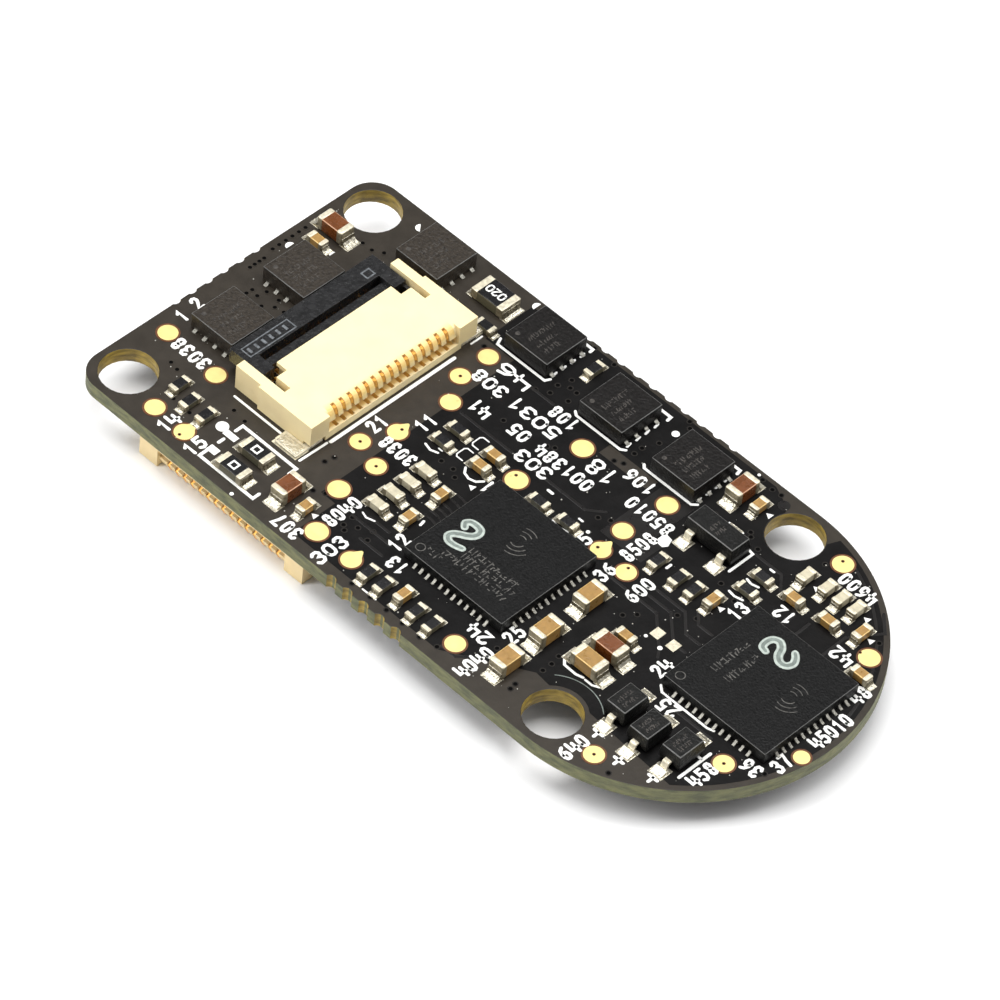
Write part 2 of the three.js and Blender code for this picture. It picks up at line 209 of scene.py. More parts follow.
# Painted highlights: lighter tones on the rounded top edges of tan and brown capacitors, where light catches
# them
TAN_EDGE_HIGHLIGHT = material("tan_ceramic_edge_highlight", (232, 196, 124), 0.3, vary=0.2, grain=9000)
BROWN_EDGE_HIGHLIGHT = material("brown_ceramic_edge_highlight", (206, 156, 120), 0.3, vary=0.2, grain=9000)
TAN = material("tan_ceramic", (158, 122, 66), 0.3, vary=0.16, grain=3600, relief=(0.014, 12000))
BROWN = material("brown_ceramic", (107, 58, 20), 0.28, vary=0.18, grain=3200, relief=(0.014, 12000))
GREY = material("grey_ceramic", (196, 188, 162), 0.34, vary=0.14, grain=4200, relief=(0.014, 12000))
CREAM = material("cream_plastic", (254, 232, 180), 0.4, vary=0.04, grain=900, relief=(0.008, 12000))
# Painted shade: a darker copy of the cream plastic for the lower connector, which sits in shade under the
# board
CREAM_SHADED = material(
    "lower_cream_plastic_painted_shade", (236, 212, 160), 0.4, vary=0.06, grain=900, relief=(0.008, 12000)
)
BLACK_PLASTIC = material(
    "lever_plastic", (29, 29, 30), 0.27, vary=0.35, grain=2500, relief=(0.022, 6000), specular=0.42
)
# Paler raised marks on the lever: partly worn and dusty, partly a painted highlight
LEVER_MARK_WEAR_AND_SHEEN = material("lever_marks_worn_and_painted_highlight", (104, 108, 112), 0.34, vary=0.5, grain=5000, relief=(0.02, 8000))
CONTACT = material(
    "contact_gold", (250, 180, 84), 0.32, metal=0.4, vary=0.16, grain=5000, relief=(0.004, 20000)
)
FLOOR = material("pale_floor", (250, 250, 250), 0.85, vary=0.01, grain=20, relief=(0.02, 900))

# ---- mesh code


def soften(bm, offset, angle, segments=2):
    """Rounds the edges that are sharper than an angle."""
    edges = [e for e in bm.edges if len(e.link_faces) == 2 and e.calc_face_angle() > angle]
    made = bmesh.ops.bevel(
        bm, geom=edges, offset=offset, segments=segments, profile=0.5, affect="EDGES", clamp_overlap=True
    )
    for f in made["faces"]:
        f.smooth = True


def corners(low, high):
    """The four corners of a box's underside."""
    (x0, y0, z0), (x1, y1, _) = low, high
    return [(x0, y0, z0), (x1, y0, z0), (x1, y1, z0), (x0, y1, z0)]


def arc_points(cx, cy, radius, start, end, count):
    span = [math.radians(start + (end - start) * i / count) for i in range(count + 1)]
    return [(cx + radius * math.cos(a), cy + radius * math.sin(a)) for a in span]


class Build:
    """Collects shapes, in board millimetres, into one object."""

    def __init__(self):
        self.bm = bmesh.new()
        self.materials = []

    def take(self, other, look, rim=None, side=None):
        """Adds a shape: its rounded top rim may take a lighter look, a painted highlight, and its steep sides
        a darker look, painted shade.
        """
        for wanted in (look, rim, side):
            if wanted and wanted not in self.materials:
                self.materials.append(wanted)
        top = max(v.co.z for v in other.verts)
        for f in other.faces:
            near_top = top - f.calc_center_median().z < 0.04
            if rim and f.smooth and 0.2 < f.normal.z < 0.97 and near_top:
                wanted = rim
            elif side and f.normal.z < 0.55:
                wanted = side
            else:
                wanted = look
            f.material_index = self.materials.index(wanted)
        mesh = bpy.data.meshes.new("part")
        other.to_mesh(mesh)
        other.free()
        self.bm.from_mesh(mesh)
        bpy.data.meshes.remove(mesh)

    def extrude(self, points, along, look, soft=0.0, segments=2, rim=None, side=None):
        """A polygon in space, pushed along a vector, with its edges softened."""
        bm = bmesh.new()
        face = bm.faces.new([bm.verts.new(p) for p in points])
        grown = bmesh.ops.extrude_face_region(bm, geom=[face])
        moved = [v for v in grown["geom"] if isinstance(v, bmesh.types.BMVert)]
        bmesh.ops.translate(bm, verts=moved, vec=Vector(along))
        bmesh.ops.recalc_face_normals(bm, faces=bm.faces)
        if soft:
            soften(bm, soft, 0.5, segments)
        bm.normal_update()
        self.take(bm, look, rim, side)

    def box(self, low, high, look, soft=0.0, rim=None):
        self.extrude(corners(low, high), (0, 0, high[2] - low[2]), look, soft, 2, rim)

    def prism(self, outline, z0, z1, look, soft=0.0):
        self.extrude([(x, y, z0) for x, y in outline], (0, 0, z1 - z0), look, soft)

    def disc(self, x, y, radius, z0, z1, look, soft=0.0, sides=28):
        turn = [2 * math.pi * i / sides for i in range(sides)]
        outline = [(x + radius * math.cos(a), y + radius * math.sin(a)) for a in turn]
        self.prism(outline, z0, z1, look, soft)

    def ring(self, x, y, inner, outer, z0, z1, look, sides=32):
        bm = bmesh.new()
        rows = []
        for radius, z in ((inner, z0), (inner, z1), (outer, z1), (outer, z0)):
            angles = [2 * math.pi * i / sides for i in range(sides)]
            rows.append(
                [bm.verts.new((x + radius * math.cos(a), y + radius * math.sin(a), z)) for a in angles]
            )
        for k in range(4):
            for i in range(sides):
                a, b = rows[k], rows[(k + 1) % 4]
                bm.faces.new((a[i], a[(i + 1) % sides], b[(i + 1) % sides], b[i]))
        bmesh.ops.recalc_face_normals(bm, faces=bm.faces)
        self.take(bm, look)

    def tapered(self, low, high, inset, look, soft):
        """A moulded body whose sides lean in towards its top."""
        bm = bmesh.new()
        (x0, y0, z0), (x1, y1, z1) = low, high
        rows = []
        for z, d in ((z0, inset * 0.6), (z0 + (z1 - z0) * 0.4, 0.0), (z1, inset)):
            rows.append([bm.verts.new(p) for p in corners((x0 + d, y0 + d, z), (x1 - d, y1 - d, z))])
        bm.faces.new(rows[0])
        bm.faces.new(rows[2])
        for a, b in zip(rows, rows[1:]):
            for i in range(4):
                bm.faces.new((a[i], a[(i + 1) % 4], b[(i + 1) % 4], b[i]))
        bmesh.ops.recalc_face_normals(bm, faces=bm.faces)
        soften(bm, soft, 0.3)
        bm.normal_update()
        # The rounded top edges take the painted highlight
        self.take(bm, look, CHIP_EDGE_HIGHLIGHT)

    def stroke(self, points, width, look, z=0.0, height=0.018, taper=1.0):
        """A printed line with a domed section and round ends."""
        pts = [Vector(p) for p in points]
        first = (pts[0] - pts[1]).normalized() * width / 2
        last = (pts[-1] - pts[-2]).normalized() * width / 2
        steps = ((1.0, 0.12), (0.82, 0.6), (0.45, 0.9))
        rows = [(pts[0] + first * t, s * taper) for t, s in steps]
        shares = [
            taper + (1 - taper) * math.sin(math.pi * i / max(len(pts) - 1, 1)) for i in range(len(pts))
        ]
        rows += zip(pts, shares)
        rows += [(pts[-1] + last * t, s * taper) for t, s in reversed(steps)]
        bm = bmesh.new()
        strips = []
        for i, (p, share) in enumerate(rows):
            before = (p - rows[i - 1][0]).normalized() if i else (rows[1][0] - p).normalized()
            after = (rows[i + 1][0] - p).normalized() if i + 1 < len(rows) else before
            along = (before + after).normalized() if (before + after).length > 0.2 else after
            side = Vector((-along.y, along.x))
            reach = width / 2 * share / max(abs(along.dot(after)), 0.72)
            section = ((1.0, 0.0), (0.8, height), (-0.8, height), (-1.0, 0.0))
            strips.append([bm.verts.new((*(p + side * reach * k), z + h)) for k, h in section])
        for a, b in zip(strips, strips[1:]):
            for k in range(3):
                bm.faces.new((a[k], b[k], b[k + 1], a[k + 1]))
        bm.faces.new(strips[0])
        bm.faces.new(list(reversed(strips[-1])))
        bmesh.ops.recalc_face_normals(bm, faces=bm.faces)
        self.take(bm, look)

    def stand_for(self, node, slot):
        """Finishes a detailed version of a node on the board, which replaces it."""
        return self.finish("detailed_" + node, slot, replaces=[node])

    def finish(self, name, slot, body="board", replaces=()):
        bmesh.ops.transform(self.bm, matrix=TO_ROW, verts=self.bm.verts)
        mesh = mesh_of(self.bm, name, self.materials)
        return ready(bpy.data.objects.new(name, mesh), body, replaces)


def mesh_of(bm, name, looks):
    mesh = bpy.data.meshes.new(name)
    bm.to_mesh(mesh)
    bm.free()
    for look in looks:
        mesh.materials.append(look)
    return mesh


def smoothed(points, steps=4):
    """A soft curve through the points."""
    pts = [Vector(p) for p in points]
    padded = [2 * pts[0] - pts[1]] + pts + [2 * pts[-1] - pts[-2]]
    out = []
    for p0, p1, p2, p3 in zip(padded, padded[1:], padded[2:], padded[3:]):
        for k in range(steps):
            t = k / steps
            square = (2 * p0 - 5 * p1 + 4 * p2 - p3) * t**2
            cube = (3 * p1 - p0 - 3 * p2 + p3) * t**3
            out.append(0.5 * (2 * p1 + (p2 - p0) * t + square + cube))
    return [tuple(p) for p in out + [pts[-1]]]


def ready(obj, body="board", replaces=()):
    bpy.context.scene.collection.objects.link(obj)
    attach(obj, body)
    if replaces:
        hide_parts(*replaces)
    return obj


def refined(node, name, look, body="board", soft=0.03):
    """The CAD node's own shape with its edges rounded, standing for that node."""
    bm = bmesh.new()
    bm.from_mesh(NODES[node].data)
    bmesh.ops.remove_doubles(bm, verts=bm.verts, dist=0.0005 * MM)
    bmesh.ops.dissolve_limit(bm, angle_limit=math.radians(0.5), verts=bm.verts, edges=bm.edges)
    bmesh.ops.recalc_face_normals(bm, faces=bm.faces)
    for f in bm.faces:
        f.smooth = False
    soften(bm, soft * MM, math.radians(35))
    bmesh.ops.triangulate(bm, faces=[f for f in bm.faces if len(f.verts) > 4])
    return ready(bpy.data.objects.new(name, mesh_of(bm, name, [look])), body, [node])


# ---- printed numerals

# Each numeral's strokes, in a box 0.6 wide and 1 high
DIGITS = {
    "0": [[
        (0.0, 0.28), (0.0, 0.72), (0.1, 0.93), (0.3, 1.0), (0.5, 0.93), (0.6, 0.72), (0.6, 0.28),
        (0.5, 0.07), (0.3, 0.0), (0.1, 0.07), (0.0, 0.28)
    ]],
    "1": [[(0.1, 0.78), (0.34, 1.0), (0.34, 0.0)]],
    "2": [[
        (0.0, 0.78), (0.1, 0.94), (0.3, 1.0), (0.5, 0.94), (0.58, 0.74), (0.45, 0.5), (0.0, 0.0), (0.6, 0.0)
    ]],
    "3": [[
        (0.02, 0.84), (0.15, 0.98), (0.42, 0.98), (0.57, 0.8), (0.52, 0.6), (0.28, 0.53), (0.52, 0.46),
        (0.6, 0.25), (0.48, 0.04), (0.15, 0.0), (0.0, 0.16)
    ]],
    "4": [[(-0.04, 1.0), (-0.04, 0.36), (0.68, 0.36)], [(0.5, 0.8), (0.5, 0.0)]],
    "5": [[
        (0.56, 1.0), (0.08, 1.0), (0.04, 0.56), (0.3, 0.63), (0.54, 0.52), (0.6, 0.3), (0.5, 0.08),
        (0.26, 0.0), (0.0, 0.12)
    ]],
    "6": [[
        (0.5, 0.98), (0.2, 0.85), (0.03, 0.55), (0.0, 0.25), (0.12, 0.05), (0.32, 0.0), (0.52, 0.07),
        (0.6, 0.3), (0.5, 0.52), (0.28, 0.58), (0.05, 0.42)
    ]],
    "7": [[(0.0, 1.0), (0.6, 1.0), (0.34, 0.45), (0.24, 0.0)]],
    "8": [[
        (0.3, 0.54), (0.1, 0.64), (0.04, 0.8), (0.14, 0.97), (0.3, 1.0), (0.46, 0.97), (0.56, 0.8),
        (0.5, 0.64), (0.3, 0.54), (0.08, 0.42), (0.0, 0.22), (0.1, 0.04), (0.3, 0.0), (0.5, 0.04),
        (0.6, 0.22), (0.52, 0.42), (0.3, 0.54)
    ]],
    "9": [[
        (0.1, 0.02), (0.4, 0.15), (0.57, 0.45), (0.6, 0.75), (0.48, 0.95), (0.28, 1.0), (0.08, 0.93),
        (0.0, 0.7), (0.1, 0.48), (0.32, 0.42), (0.55, 0.58)
    ]],
    "+": [[(0.05, 0.5), (0.65, 0.5)], [(0.35, 0.2), (0.35, 0.8)]],
}


def numerals(build, text, x, y, span, turned=False, height=0.65, weight=0.165, z=0.0, rise=0.018):
    """Writes plain numerals over a span centred on a point, along x or, turned, up along y."""
    step = span / len(text)
    width = max(step - 0.245, 0.26)
    for i, character in enumerate(text):
        for line in DIGITS[character]:
            placed = []
            for u, v in line:
                a = (i - (len(text) - 1) / 2) * step + (u / 0.6 - 0.5) * width
                b = (v - 0.5) * height
                placed.append((x - b, y + a) if turned else (x + a, y + b))
            build.stroke(placed, weight, SILK, z, rise)


# ---- circuit board


def flat_shape(loops, half_depth, soft=0.0):
    """A flat sheet with holes, filled between its loops."""
    curve = bpy.data.curves.new("sheet", "CURVE")
    curve.dimensions = "2D"
    curve.fill_mode = "BOTH"
    curve.extrude = half_depth - soft
    curve.bevel_depth = soft
    curve.bevel_resolution = 1
    curve.offset = -soft
    for loop in loops:
        spline = curve.splines.new("POLY")
        spline.points.add(len(loop) - 1)
        for point, (x, y) in zip(spline.points, loop):
            point.co = (x, y, 0, 1)
        spline.use_cyclic_u = True
    obj = bpy.data.objects.new("sheet", curve)
    bpy.context.scene.collection.objects.link(obj)
    mesh = bpy.data.meshes.new_from_object(obj.evaluated_get(bpy.context.evaluated_depsgraph_get()))
    bm = bmesh.new()
    bm.from_mesh(mesh)
    bpy.data.objects.remove(obj)
    bpy.data.curves.remove(curve)
    bpy.data.meshes.remove(mesh)
    return bm


def rim_loops(node):
    """The closed lines round a flat node's top face, in board millimetres."""
    bm = bmesh.new()
    bm.from_mesh(NODES[node].data)
    bmesh.ops.remove_doubles(bm, verts=bm.verts, dist=0.0005 * MM)
    bm.normal_update()
    nexts = {}
    for f in bm.faces:
        if f.normal.z > 0.95:
            for loop in f.loops:
                other = [g for g in loop.edge.link_faces if g != f]
                if other and other[0].normal.z < 0.5:
                    nexts[loop.vert] = loop.link_loop_next.vert
    loops = []
    while nexts:
        first = vert = next(iter(nexts))
        ring = []
        while vert in nexts:
            at = (vert.co - ORIGIN) / MM
            ring.append((at.x, at.y))
            vert = nexts.pop(vert)
        loops.append(ring)
    bm.free()
    return loops


def outward(x, y):
    """The way the board's plain outline would face at a point on its edge."""
    if y < END_CENTRE:
        return Vector((x, y - END_CENTRE)).normalized()
    if y > -1.2:
        return Vector((0, 1)) if abs(x) < 8.5 else None
    return Vector((math.copysign(1, x), 0))


def make_board():
    bm = flat_shape(rim_loops("circuit_board"), THICKNESS / 2, 0.03)
    bmesh.ops.remove_doubles(bm, verts=bm.verts, dist=0.0005)
    bmesh.ops.recalc_face_normals(bm, faces=bm.faces)
    for f in bm.faces:
        middle = f.calc_center_median()
        in_hole = min(math.hypot(middle.x - x, middle.y - y) for x, y in SCREW_HOLES) < 1.5
        facing = outward(middle.x, middle.y)
        flat = f.normal.xy.normalized() if f.normal.xy.length > 0.01 else Vector((0, 0))
        in_bite = facing is not None and flat.dot(facing) < 0.96
        if abs(f.normal.z) > 0.6:
            f.material_index = 0
        else:
            f.material_index = 2 if in_hole or in_bite else 1
        f.smooth = abs(f.normal.z) < 0.1 and in_hole
    shift = TO_ROW @ Matrix.Translation((0, 0, -THICKNESS / 2))
    bmesh.ops.transform(bm, matrix=shift, verts=bm.verts)
    mesh = mesh_of(bm, "board_laminate", (POUR, EDGE, BORE))
    ready(bpy.data.objects.new("board_laminate", mesh), "board", ["circuit_board"])


def pour(build, outline, look=POUR, top=0.01):
    """A thin area of mask that stands a hair above what is round it."""
    bm = flat_shape([outline], top / 2)
    bmesh.ops.translate(bm, verts=bm.verts, vec=(0, 0, top / 2 - 0.001))
    build.take(bm, look)


TRACES = [
    [(1.8, -13.4), (1.8, -21.2), (2.4, -21.9)],
    [(-0.2, -24.6), (-0.2, -27.5), (-1.6, -29.0), (-2.0, -29.3)],
    [(0.3, -26.6), (0.3, -27.9), (-0.9, -29.2), (-0.9, -29.9)],
    [(0.8, -26.6), (0.8, -28.3), (-0.1, -29.2), (-0.1, -30.0)],
    [(1.3, -28.6), (0.7, -29.2), (0.7, -30.0)],
    [(5.6, -28.0), (5.6, -29.6), (4.7, -30.4)],
    [(3.4, -31.6), (4.3, -31.6), (4.8, -31.1)],
    [(3.4, -32.4), (4.4, -32.4)],
    [(3.4, -34.0), (5.0, -34.0), (6.5, -35.0), (7.3, -34.2)],
    [(3.4, -35.2), (4.2, -36.1)],
    [(-6.2, -14.6), (-6.2, -17.0), (-5.6, -17.6)],
    [(-5.7, -15.2), (-5.7, -16.4)],
    [(-6.9, -15.8), (-6.9, -17.2)],
    [(5.3, -14.4), (5.3, -15.8)],
    [(-4.3, -24.2), (-4.3, -24.8)],
    [(-8.6, -22.6), (-8.6, -23.4), (-7.4, -24.6)],
    arc_points(0, END_CENTRE, 8.9, -18, -44, 9),
    arc_points(0, END_CENTRE, 8.9, -50, -82, 9),
    [(-3.0, -30.6), (-3.6, -31.2), (-3.6, -34.0)],
]
VIAS = [(0.9 + 0.3 * i, -0.63) for i in range(4)] + [(2.5 + 0.42 * i, -0.46) for i in range(6)] + [
    (-9.03, -17.45), (-8.98, -18.55), (-8.97, -19.55), (-8.98, -20.55), (-8.98, -21.6), (-8.8, -22.5),
    (-0.35, -1.7), (0.0, -1.72), (-0.1, -2.15), (0.4, -2.25), (-0.4, -2.75), (0.0, -3.2), (0.1, -3.7),
    (0.45, -3.0), (5.9, -2.9), (5.9, -3.5), (6.2, -4.0), (-5.9, -2.6), (-6.0, -3.1), (-5.8, -6.6),
    (-5.9, -7.4), (-7.4, -5.4), (-7.35, -4.3), (-6.9, -14.75), (-6.3, -14.7), (-6.55, -15.3),
    (-6.75, -16.1), (-6.2, -15.9), (-7.1, -15.0), (-6.2, -12.9), (-6.5, -12.4), (5.35, -14.6),
    (5.7, -15.2), (6.3, -15.1), (7.0, -15.3), (6.6, -16.0), (5.95, -16.1), (9.2, -14.6), (9.15, -15.9),
    (9.2, -20.6), (9.1, -25.2), (3.8, -12.9), (2.9, -15.0), (3.25, -17.4), (3.45, -17.7), (-0.95, -14.9),
    (-0.9, -15.6), (-1.2, -16.0), (-0.7, -17.9), (-0.5, -18.9), (-0.3, -19.6), (-8.1, -26.3),
    (-7.75, -26.25), (-6.3, -26.5), (-5.75, -26.5), (-5.2, -26.4), (-1.4, -26.6), (-0.9, -27.0),
    (0.9, -26.1), (0.9, -28.9), (0.4, -28.2), (6.0, -25.2), (6.2, -27.2), (6.4, -27.0), (9.05, -26.4),
    (9.0, -25.9), (5.9, -27.9), (3.2, -28.2), (3.4, -29.9), (7.5, -30.5), (5.9, -35.2), (-8.3, -32.4),
    (-3.3, -36.9), (3.9, -36.7), (2.9, -29.3), (2.2, -22.4), (1.9, -21.9), (-6.9, -24.3), (4.9, -20.0),
    (5.1, -20.4), (5.9, -20.3), (6.4, -20.3), (7.2, -20.6), (8.9, -20.9), (6.6, -15.6), (5.5, -11.2),
    (-4.4, -11.6), (-4.9, -11.5),
]


def make_copper():
    """The black areas of the mask, with no copper under them, the traces and the covered vias."""
    b = Build()
    black = [
        (-6.3, -12.7), (5.9, -12.7), (5.9, -10.9), (8.9, -10.9), (9.25, -12.5), (9.25, -25.9), (8.7, -27.1)
    ]
    black += arc_points(*SCREW_HOLES[2], 1.43, 62, 300, 22) + arc_points(
        0, END_CENTRE, 9.2, -10, -137.7, 34
    )
    black += [(-6.6, -31.0)] + arc_points(*SCREW_HOLES[3], 1.6, 320, 410, 8)
    black += [(-6.6, -26.4), (-8.9, -22.6), (-8.9, -13.6), (-6.3, -13.6)]
    pour(b, black, MASK, 0.006)
    pour(b, [(4.75, -19.2), (5.45, -19.2), (5.45, -22.2), (4.75, -22.2)])
    pour(b, [(1.4, -22.5), (5.5, -22.5), (5.5, -24.4), (3.0, -24.4), (3.0, -25.0), (1.4, -25.0)], TRACE)
    for points in TRACES:
        b.stroke(points, 0.16, TRACE, 0.0, TRACE_TOP)
    for x in (-3.9, -3.55, -3.2, -2.85, -2.4, -2.0):
        b.stroke([(x, -17.75), (x + 0.15, -17.1), (x + 0.15, -16.7)], 0.13, TRACE, 0.0, TRACE_TOP)
    for x, y in VIAS:
        b.ring(x, y, 0.1, 0.155, 0.0, 0.013, POUR if y > -10.9 else VIA, 14)
        # The via's centre: its hole's shade, painted
        b.disc(x, y, 0.1, 0.0, 0.0095, VIA_PIT_SHADE, sides=12)
    b.finish("copper_under_mask", "circuit_board")


# Test pads: x, y, radius and, where there is one, the place of the small hole in it
PADS = [
    (-4.75, -1.17, 0.5, None), (-8.34, -4.14, 0.5, None), (-4.93, -4.5, 0.5, None),
    (-8.38, -6.09, 0.5, (-0.27, 0.02)), (-2.87, -11.68, 0.5, (0, 0)),
    (-1.19, -12.37, 0.5, (0.24, -0.03)), (3.36, -11.8, 0.5, (0, 0)), (5.17, -11.79, 0.5, None),
    (1.89, -12.64, 0.5, None), (-5.58, -13.1, 0.54, None), (-3.38, -13.22, 0.5, (0, 0)),
    (-8.07, -14.26, 0.56, None), (-8.09, -16.44, 0.5, None), (0.76, -17.93, 0.56, (0.19, 0.21)),
    (4.37, -18.55, 0.54, None), (-8.09, -22.91, 0.5, None), (0.6, -23.31, 0.5, (0.02, 0.19)),
    (2.16, -23.18, 0.5, None), (4.76, -23.43, 0.52, None), (0.51, -24.97, 0.5, (0.24, 0.1)),
    (-8.03, -31.27, 0.5, (0, 0)), (-4.21, -35.34, 0.5, (0, 0)), (-1.43, -37.34, 0.4, None),
    (4.95, -35.48, 0.52, (-0.08, 0.48)), (8.11, -31.02, 0.52, (0.11, 0.12)),
]
TEARDROPS = [(-8.38, -6.09), (-1.19, -12.37), (-8.09, -16.44), (0.6, -23.31)]


def make_pads():
    b = Build()
    for x, y, radius, dot in PADS:
        b.ring(x, y, radius - 0.03, radius + 0.07, 0.0, 0.016, RIM)
        b.disc(x, y, radius - 0.02, 0.0, 0.022, GOLD, 0.008, 36)
        if dot:
            b.ring(x + dot[0], y + dot[1], 0.045, 0.085, 0.018, 0.026, RIM, 14)
            # The small hole's inside: painted shade
            b.disc(x + dot[0], y + dot[1], 0.05, 0.015, 0.0235, VIA_PIT_SHADE, sides=12)
    for x, y in TEARDROPS:
        b.prism(
            [(x + 0.4, y - 0.26), (x + 0.72, y - 0.05), (x + 0.72, y + 0.05), (x + 0.4, y + 0.26)], 0.0,
            0.021, GOLD, 0.005
        )
    for y in (-28.35, -29.3):
        b.box((-1.28, y - 0.25, 0), (-0.72, y + 0.25, 0.02), TIN, 0.008)
    b.box((5.86, -26.85, 0), (6.14, -25.95, 0.018), SILK, 0.005)
    b.prism(arc_points(8.7, -26.9, 0.3, 10, 350, 11), 0.0, 0.01, TRACE, 0.004)
    b.finish("test_pads", "gold_contact")


# Plain numerals stand where the real board names its pads: text, the middle's x and y, and span
LABELS_ALONG_X = [
    ("1", -3.55, -0.8, 0.5), ("2", -2.5, -0.68, 0.55), ("14", -8.5, -5.2, 1.2), ("15", -8.6, -7.0, 1.2),
    ("21", -1.55, -11.4, 1.05), ("11", 0.15, -12.8, 1.1), ("8040", -6.4, -14.15, 2.1),
    ("303", -8.4, -15.4, 2.0), ("5", 0.55, -22.4, 0.55), ("4040", -8.2, -24.2, 2.1),
    ("8508", 2.0, -24.3, 2.0), ("600", 0.2, -26.1, 1.6), ("640", -8.4, -30.4, 1.6),
    ("458", -5.35, -35.15, 1.55), ("45010", 0.6, -37.2, 2.4), ("12", -5.8, -17.1, 1.05),
    ("25", -5.8, -24.25, 1.1), ("36", -0.2, -24.35, 1.1), ("24", -2.3, -29.85, 1.1),
    ("13", 2.6, -29.8, 1.05), ("37", -2.35, -37.0, 1.05), ("48", 3.05, -36.65, 1.05),
]
LABELS_ALONG_Y = [
    ("3038", -4.85, -2.8, 2.2), ("3038", -2.0, -13.2, 2.0), ("41", 2.6, -13.8, 1.2),
    ("308", 4.05, -13.0, 2.0), ("5031", 4.05, -15.8, 3.1), ("46", 5.2, -13.4, 1.9),
    ("108", 5.05, -16.7, 1.6), ("303", 2.0, -17.75, 2.1), ("001384", 2.9, -18.8, 3.4),
    ("05", 2.9, -16.0, 1.15), ("106", 4.85, -21.65, 1.7), ("307", -8.85, -13.2, 1.6),
    ("85010", 3.7, -23.35, 2.7), ("4600", 7.55, -32.45, 2.1), ("42", 4.1, -34.6, 1.2),
    ("1", -0.5, -17.35, 0.5), ("13", -6.8, -18.0, 1.05), ("24", -6.9, -23.2, 1.3),
    ("25", -3.75, -31.6, 1.1), ("12", 3.95, -31.3, 1.05), ("36", -3.5, -36.3, 1.05),
]


LINES = [
    (0.17, [(-8.2, -7.55), (-8.83, -7.55), (-8.83, -10.98), (-8.45, -10.98)]),
    (0.17, [(-7.65, -7.55), (-7.35, -7.55)]),
    (0.17, [(-6.6, -7.55), (-6.15, -7.55), (-6.15, -10.98), (-6.6, -10.98)]),
    (0.13, [(-5.18, -6.0), (-5.18, -8.95)]),
    (0.13, [(-5.7, -10.72), (-4.05, -10.76)]),
    (0.19, [(-3.85, -10.82), (3.95, -10.82)]),
    (0.1, [(5.15, -10.7), (5.85, -10.7)]),
    (0.15, [(6.4, -11.35), (6.05, -11.5), (6.05, -14.5), (6.3, -14.62)]),
    (0.17, [(9.1, -14.0), (9.1, -14.6), (8.9, -14.62)]),
    (0.15, [(5.75, -16.75), (5.6, -16.95), (5.6, -19.7), (5.75, -19.9)]),
    (0.17, [(8.75, -19.2), (8.75, -19.85), (8.5, -19.88)]),
    (0.15, [(5.75, -21.05), (5.6, -21.2), (5.6, -24.1), (5.8, -24.3)]),
    (0.17, [(8.75, -23.7), (8.75, -24.15), (8.5, -24.2)]),
    (0.15, [(4.0, -27.95), (5.52, -27.95), (5.58, -27.6)]),
    (0.13, [(-0.42, -15.9), (-0.68, -16.1), (-0.78, -16.45), (-0.68, -16.8), (-0.4, -17.02)]),
    (0.13, [(-3.05, -30.5), (-3.3, -30.8), (-3.3, -33.5), (-3.2, -33.8)]),
    (0.14, [(-5.1, -26.65), (-5.36, -26.9), (-5.38, -27.6), (-5.28, -27.95)]),
    (0.12, [(-5.3, -28.1), (-5.3, -28.5), (-5.15, -28.8)]),
    (0.17, [(-6.2, -34.58), (-4.25, -34.58)]),
    (0.15, [(-4.75, -34.5), (-4.75, -34.3)]),
    (0.12, [(-0.75, -13.7), (-0.85, -14.1), (-0.72, -14.45)]),
    (0.09, [(-0.5, -14.3), (-0.5, -14.5)]),
    (0.12, [(0.18, -18.95), (0.08, -19.35), (0.2, -19.8)]),
    (0.12, [(0.25, -20.7), (0.15, -21.1), (0.28, -21.6)]),
    (0.12, [(1.22, -21.4), (1.22, -21.6)]),
    (0.16, [(1.4, -19.3), (1.4, -19.55)]),
    (0.13, [(3.15, -28.75), (3.1, -29.1), (3.2, -29.5)]),
    (0.13, [(4.25, -28.8), (4.18, -29.1), (4.28, -29.45)]),
    (0.13, [(5.45, -29.1), (5.45, -29.3)]),
    (0.1, [(-5.75, -14.8), (-5.85, -15.1), (-5.72, -15.5)]),
    (0.15, [(-4.35, -17.0), (-4.1, -16.95)]),
    (0.15, [(2.05, -25.98), (2.3, -25.98)]),
    (0.14, [(2.05, -26.98), (2.3, -26.98)]),
    (0.09, [(-8.9, -18.0), (-8.9, -18.8)]),
]
TRIANGLES = [
    (-7.5, -13.5), (2.1, -29.2), (5.7, -34.85), (6.5, -33.9), (7.75, -26.85), (-1.05, -16.9),
    (4.35, -2.35), (6.15, -31.2),
]
DOTS = [
    (-6.87, -6.97, 0.31), (8.17, -20.7, 0.19), (-9.35, -10.17, 0.1), (-1.55, -29.0, 0.12),
    (-1.5, -28.1, 0.09), (0.95, -22.2, 0.1), (9.2, -24.9, 0.08),
]
HALF_DISCS = [(3.25, -0.85, 0), (8.6, -3.95, 40), (9.1, -11.05, 0)]
INK = 0.018


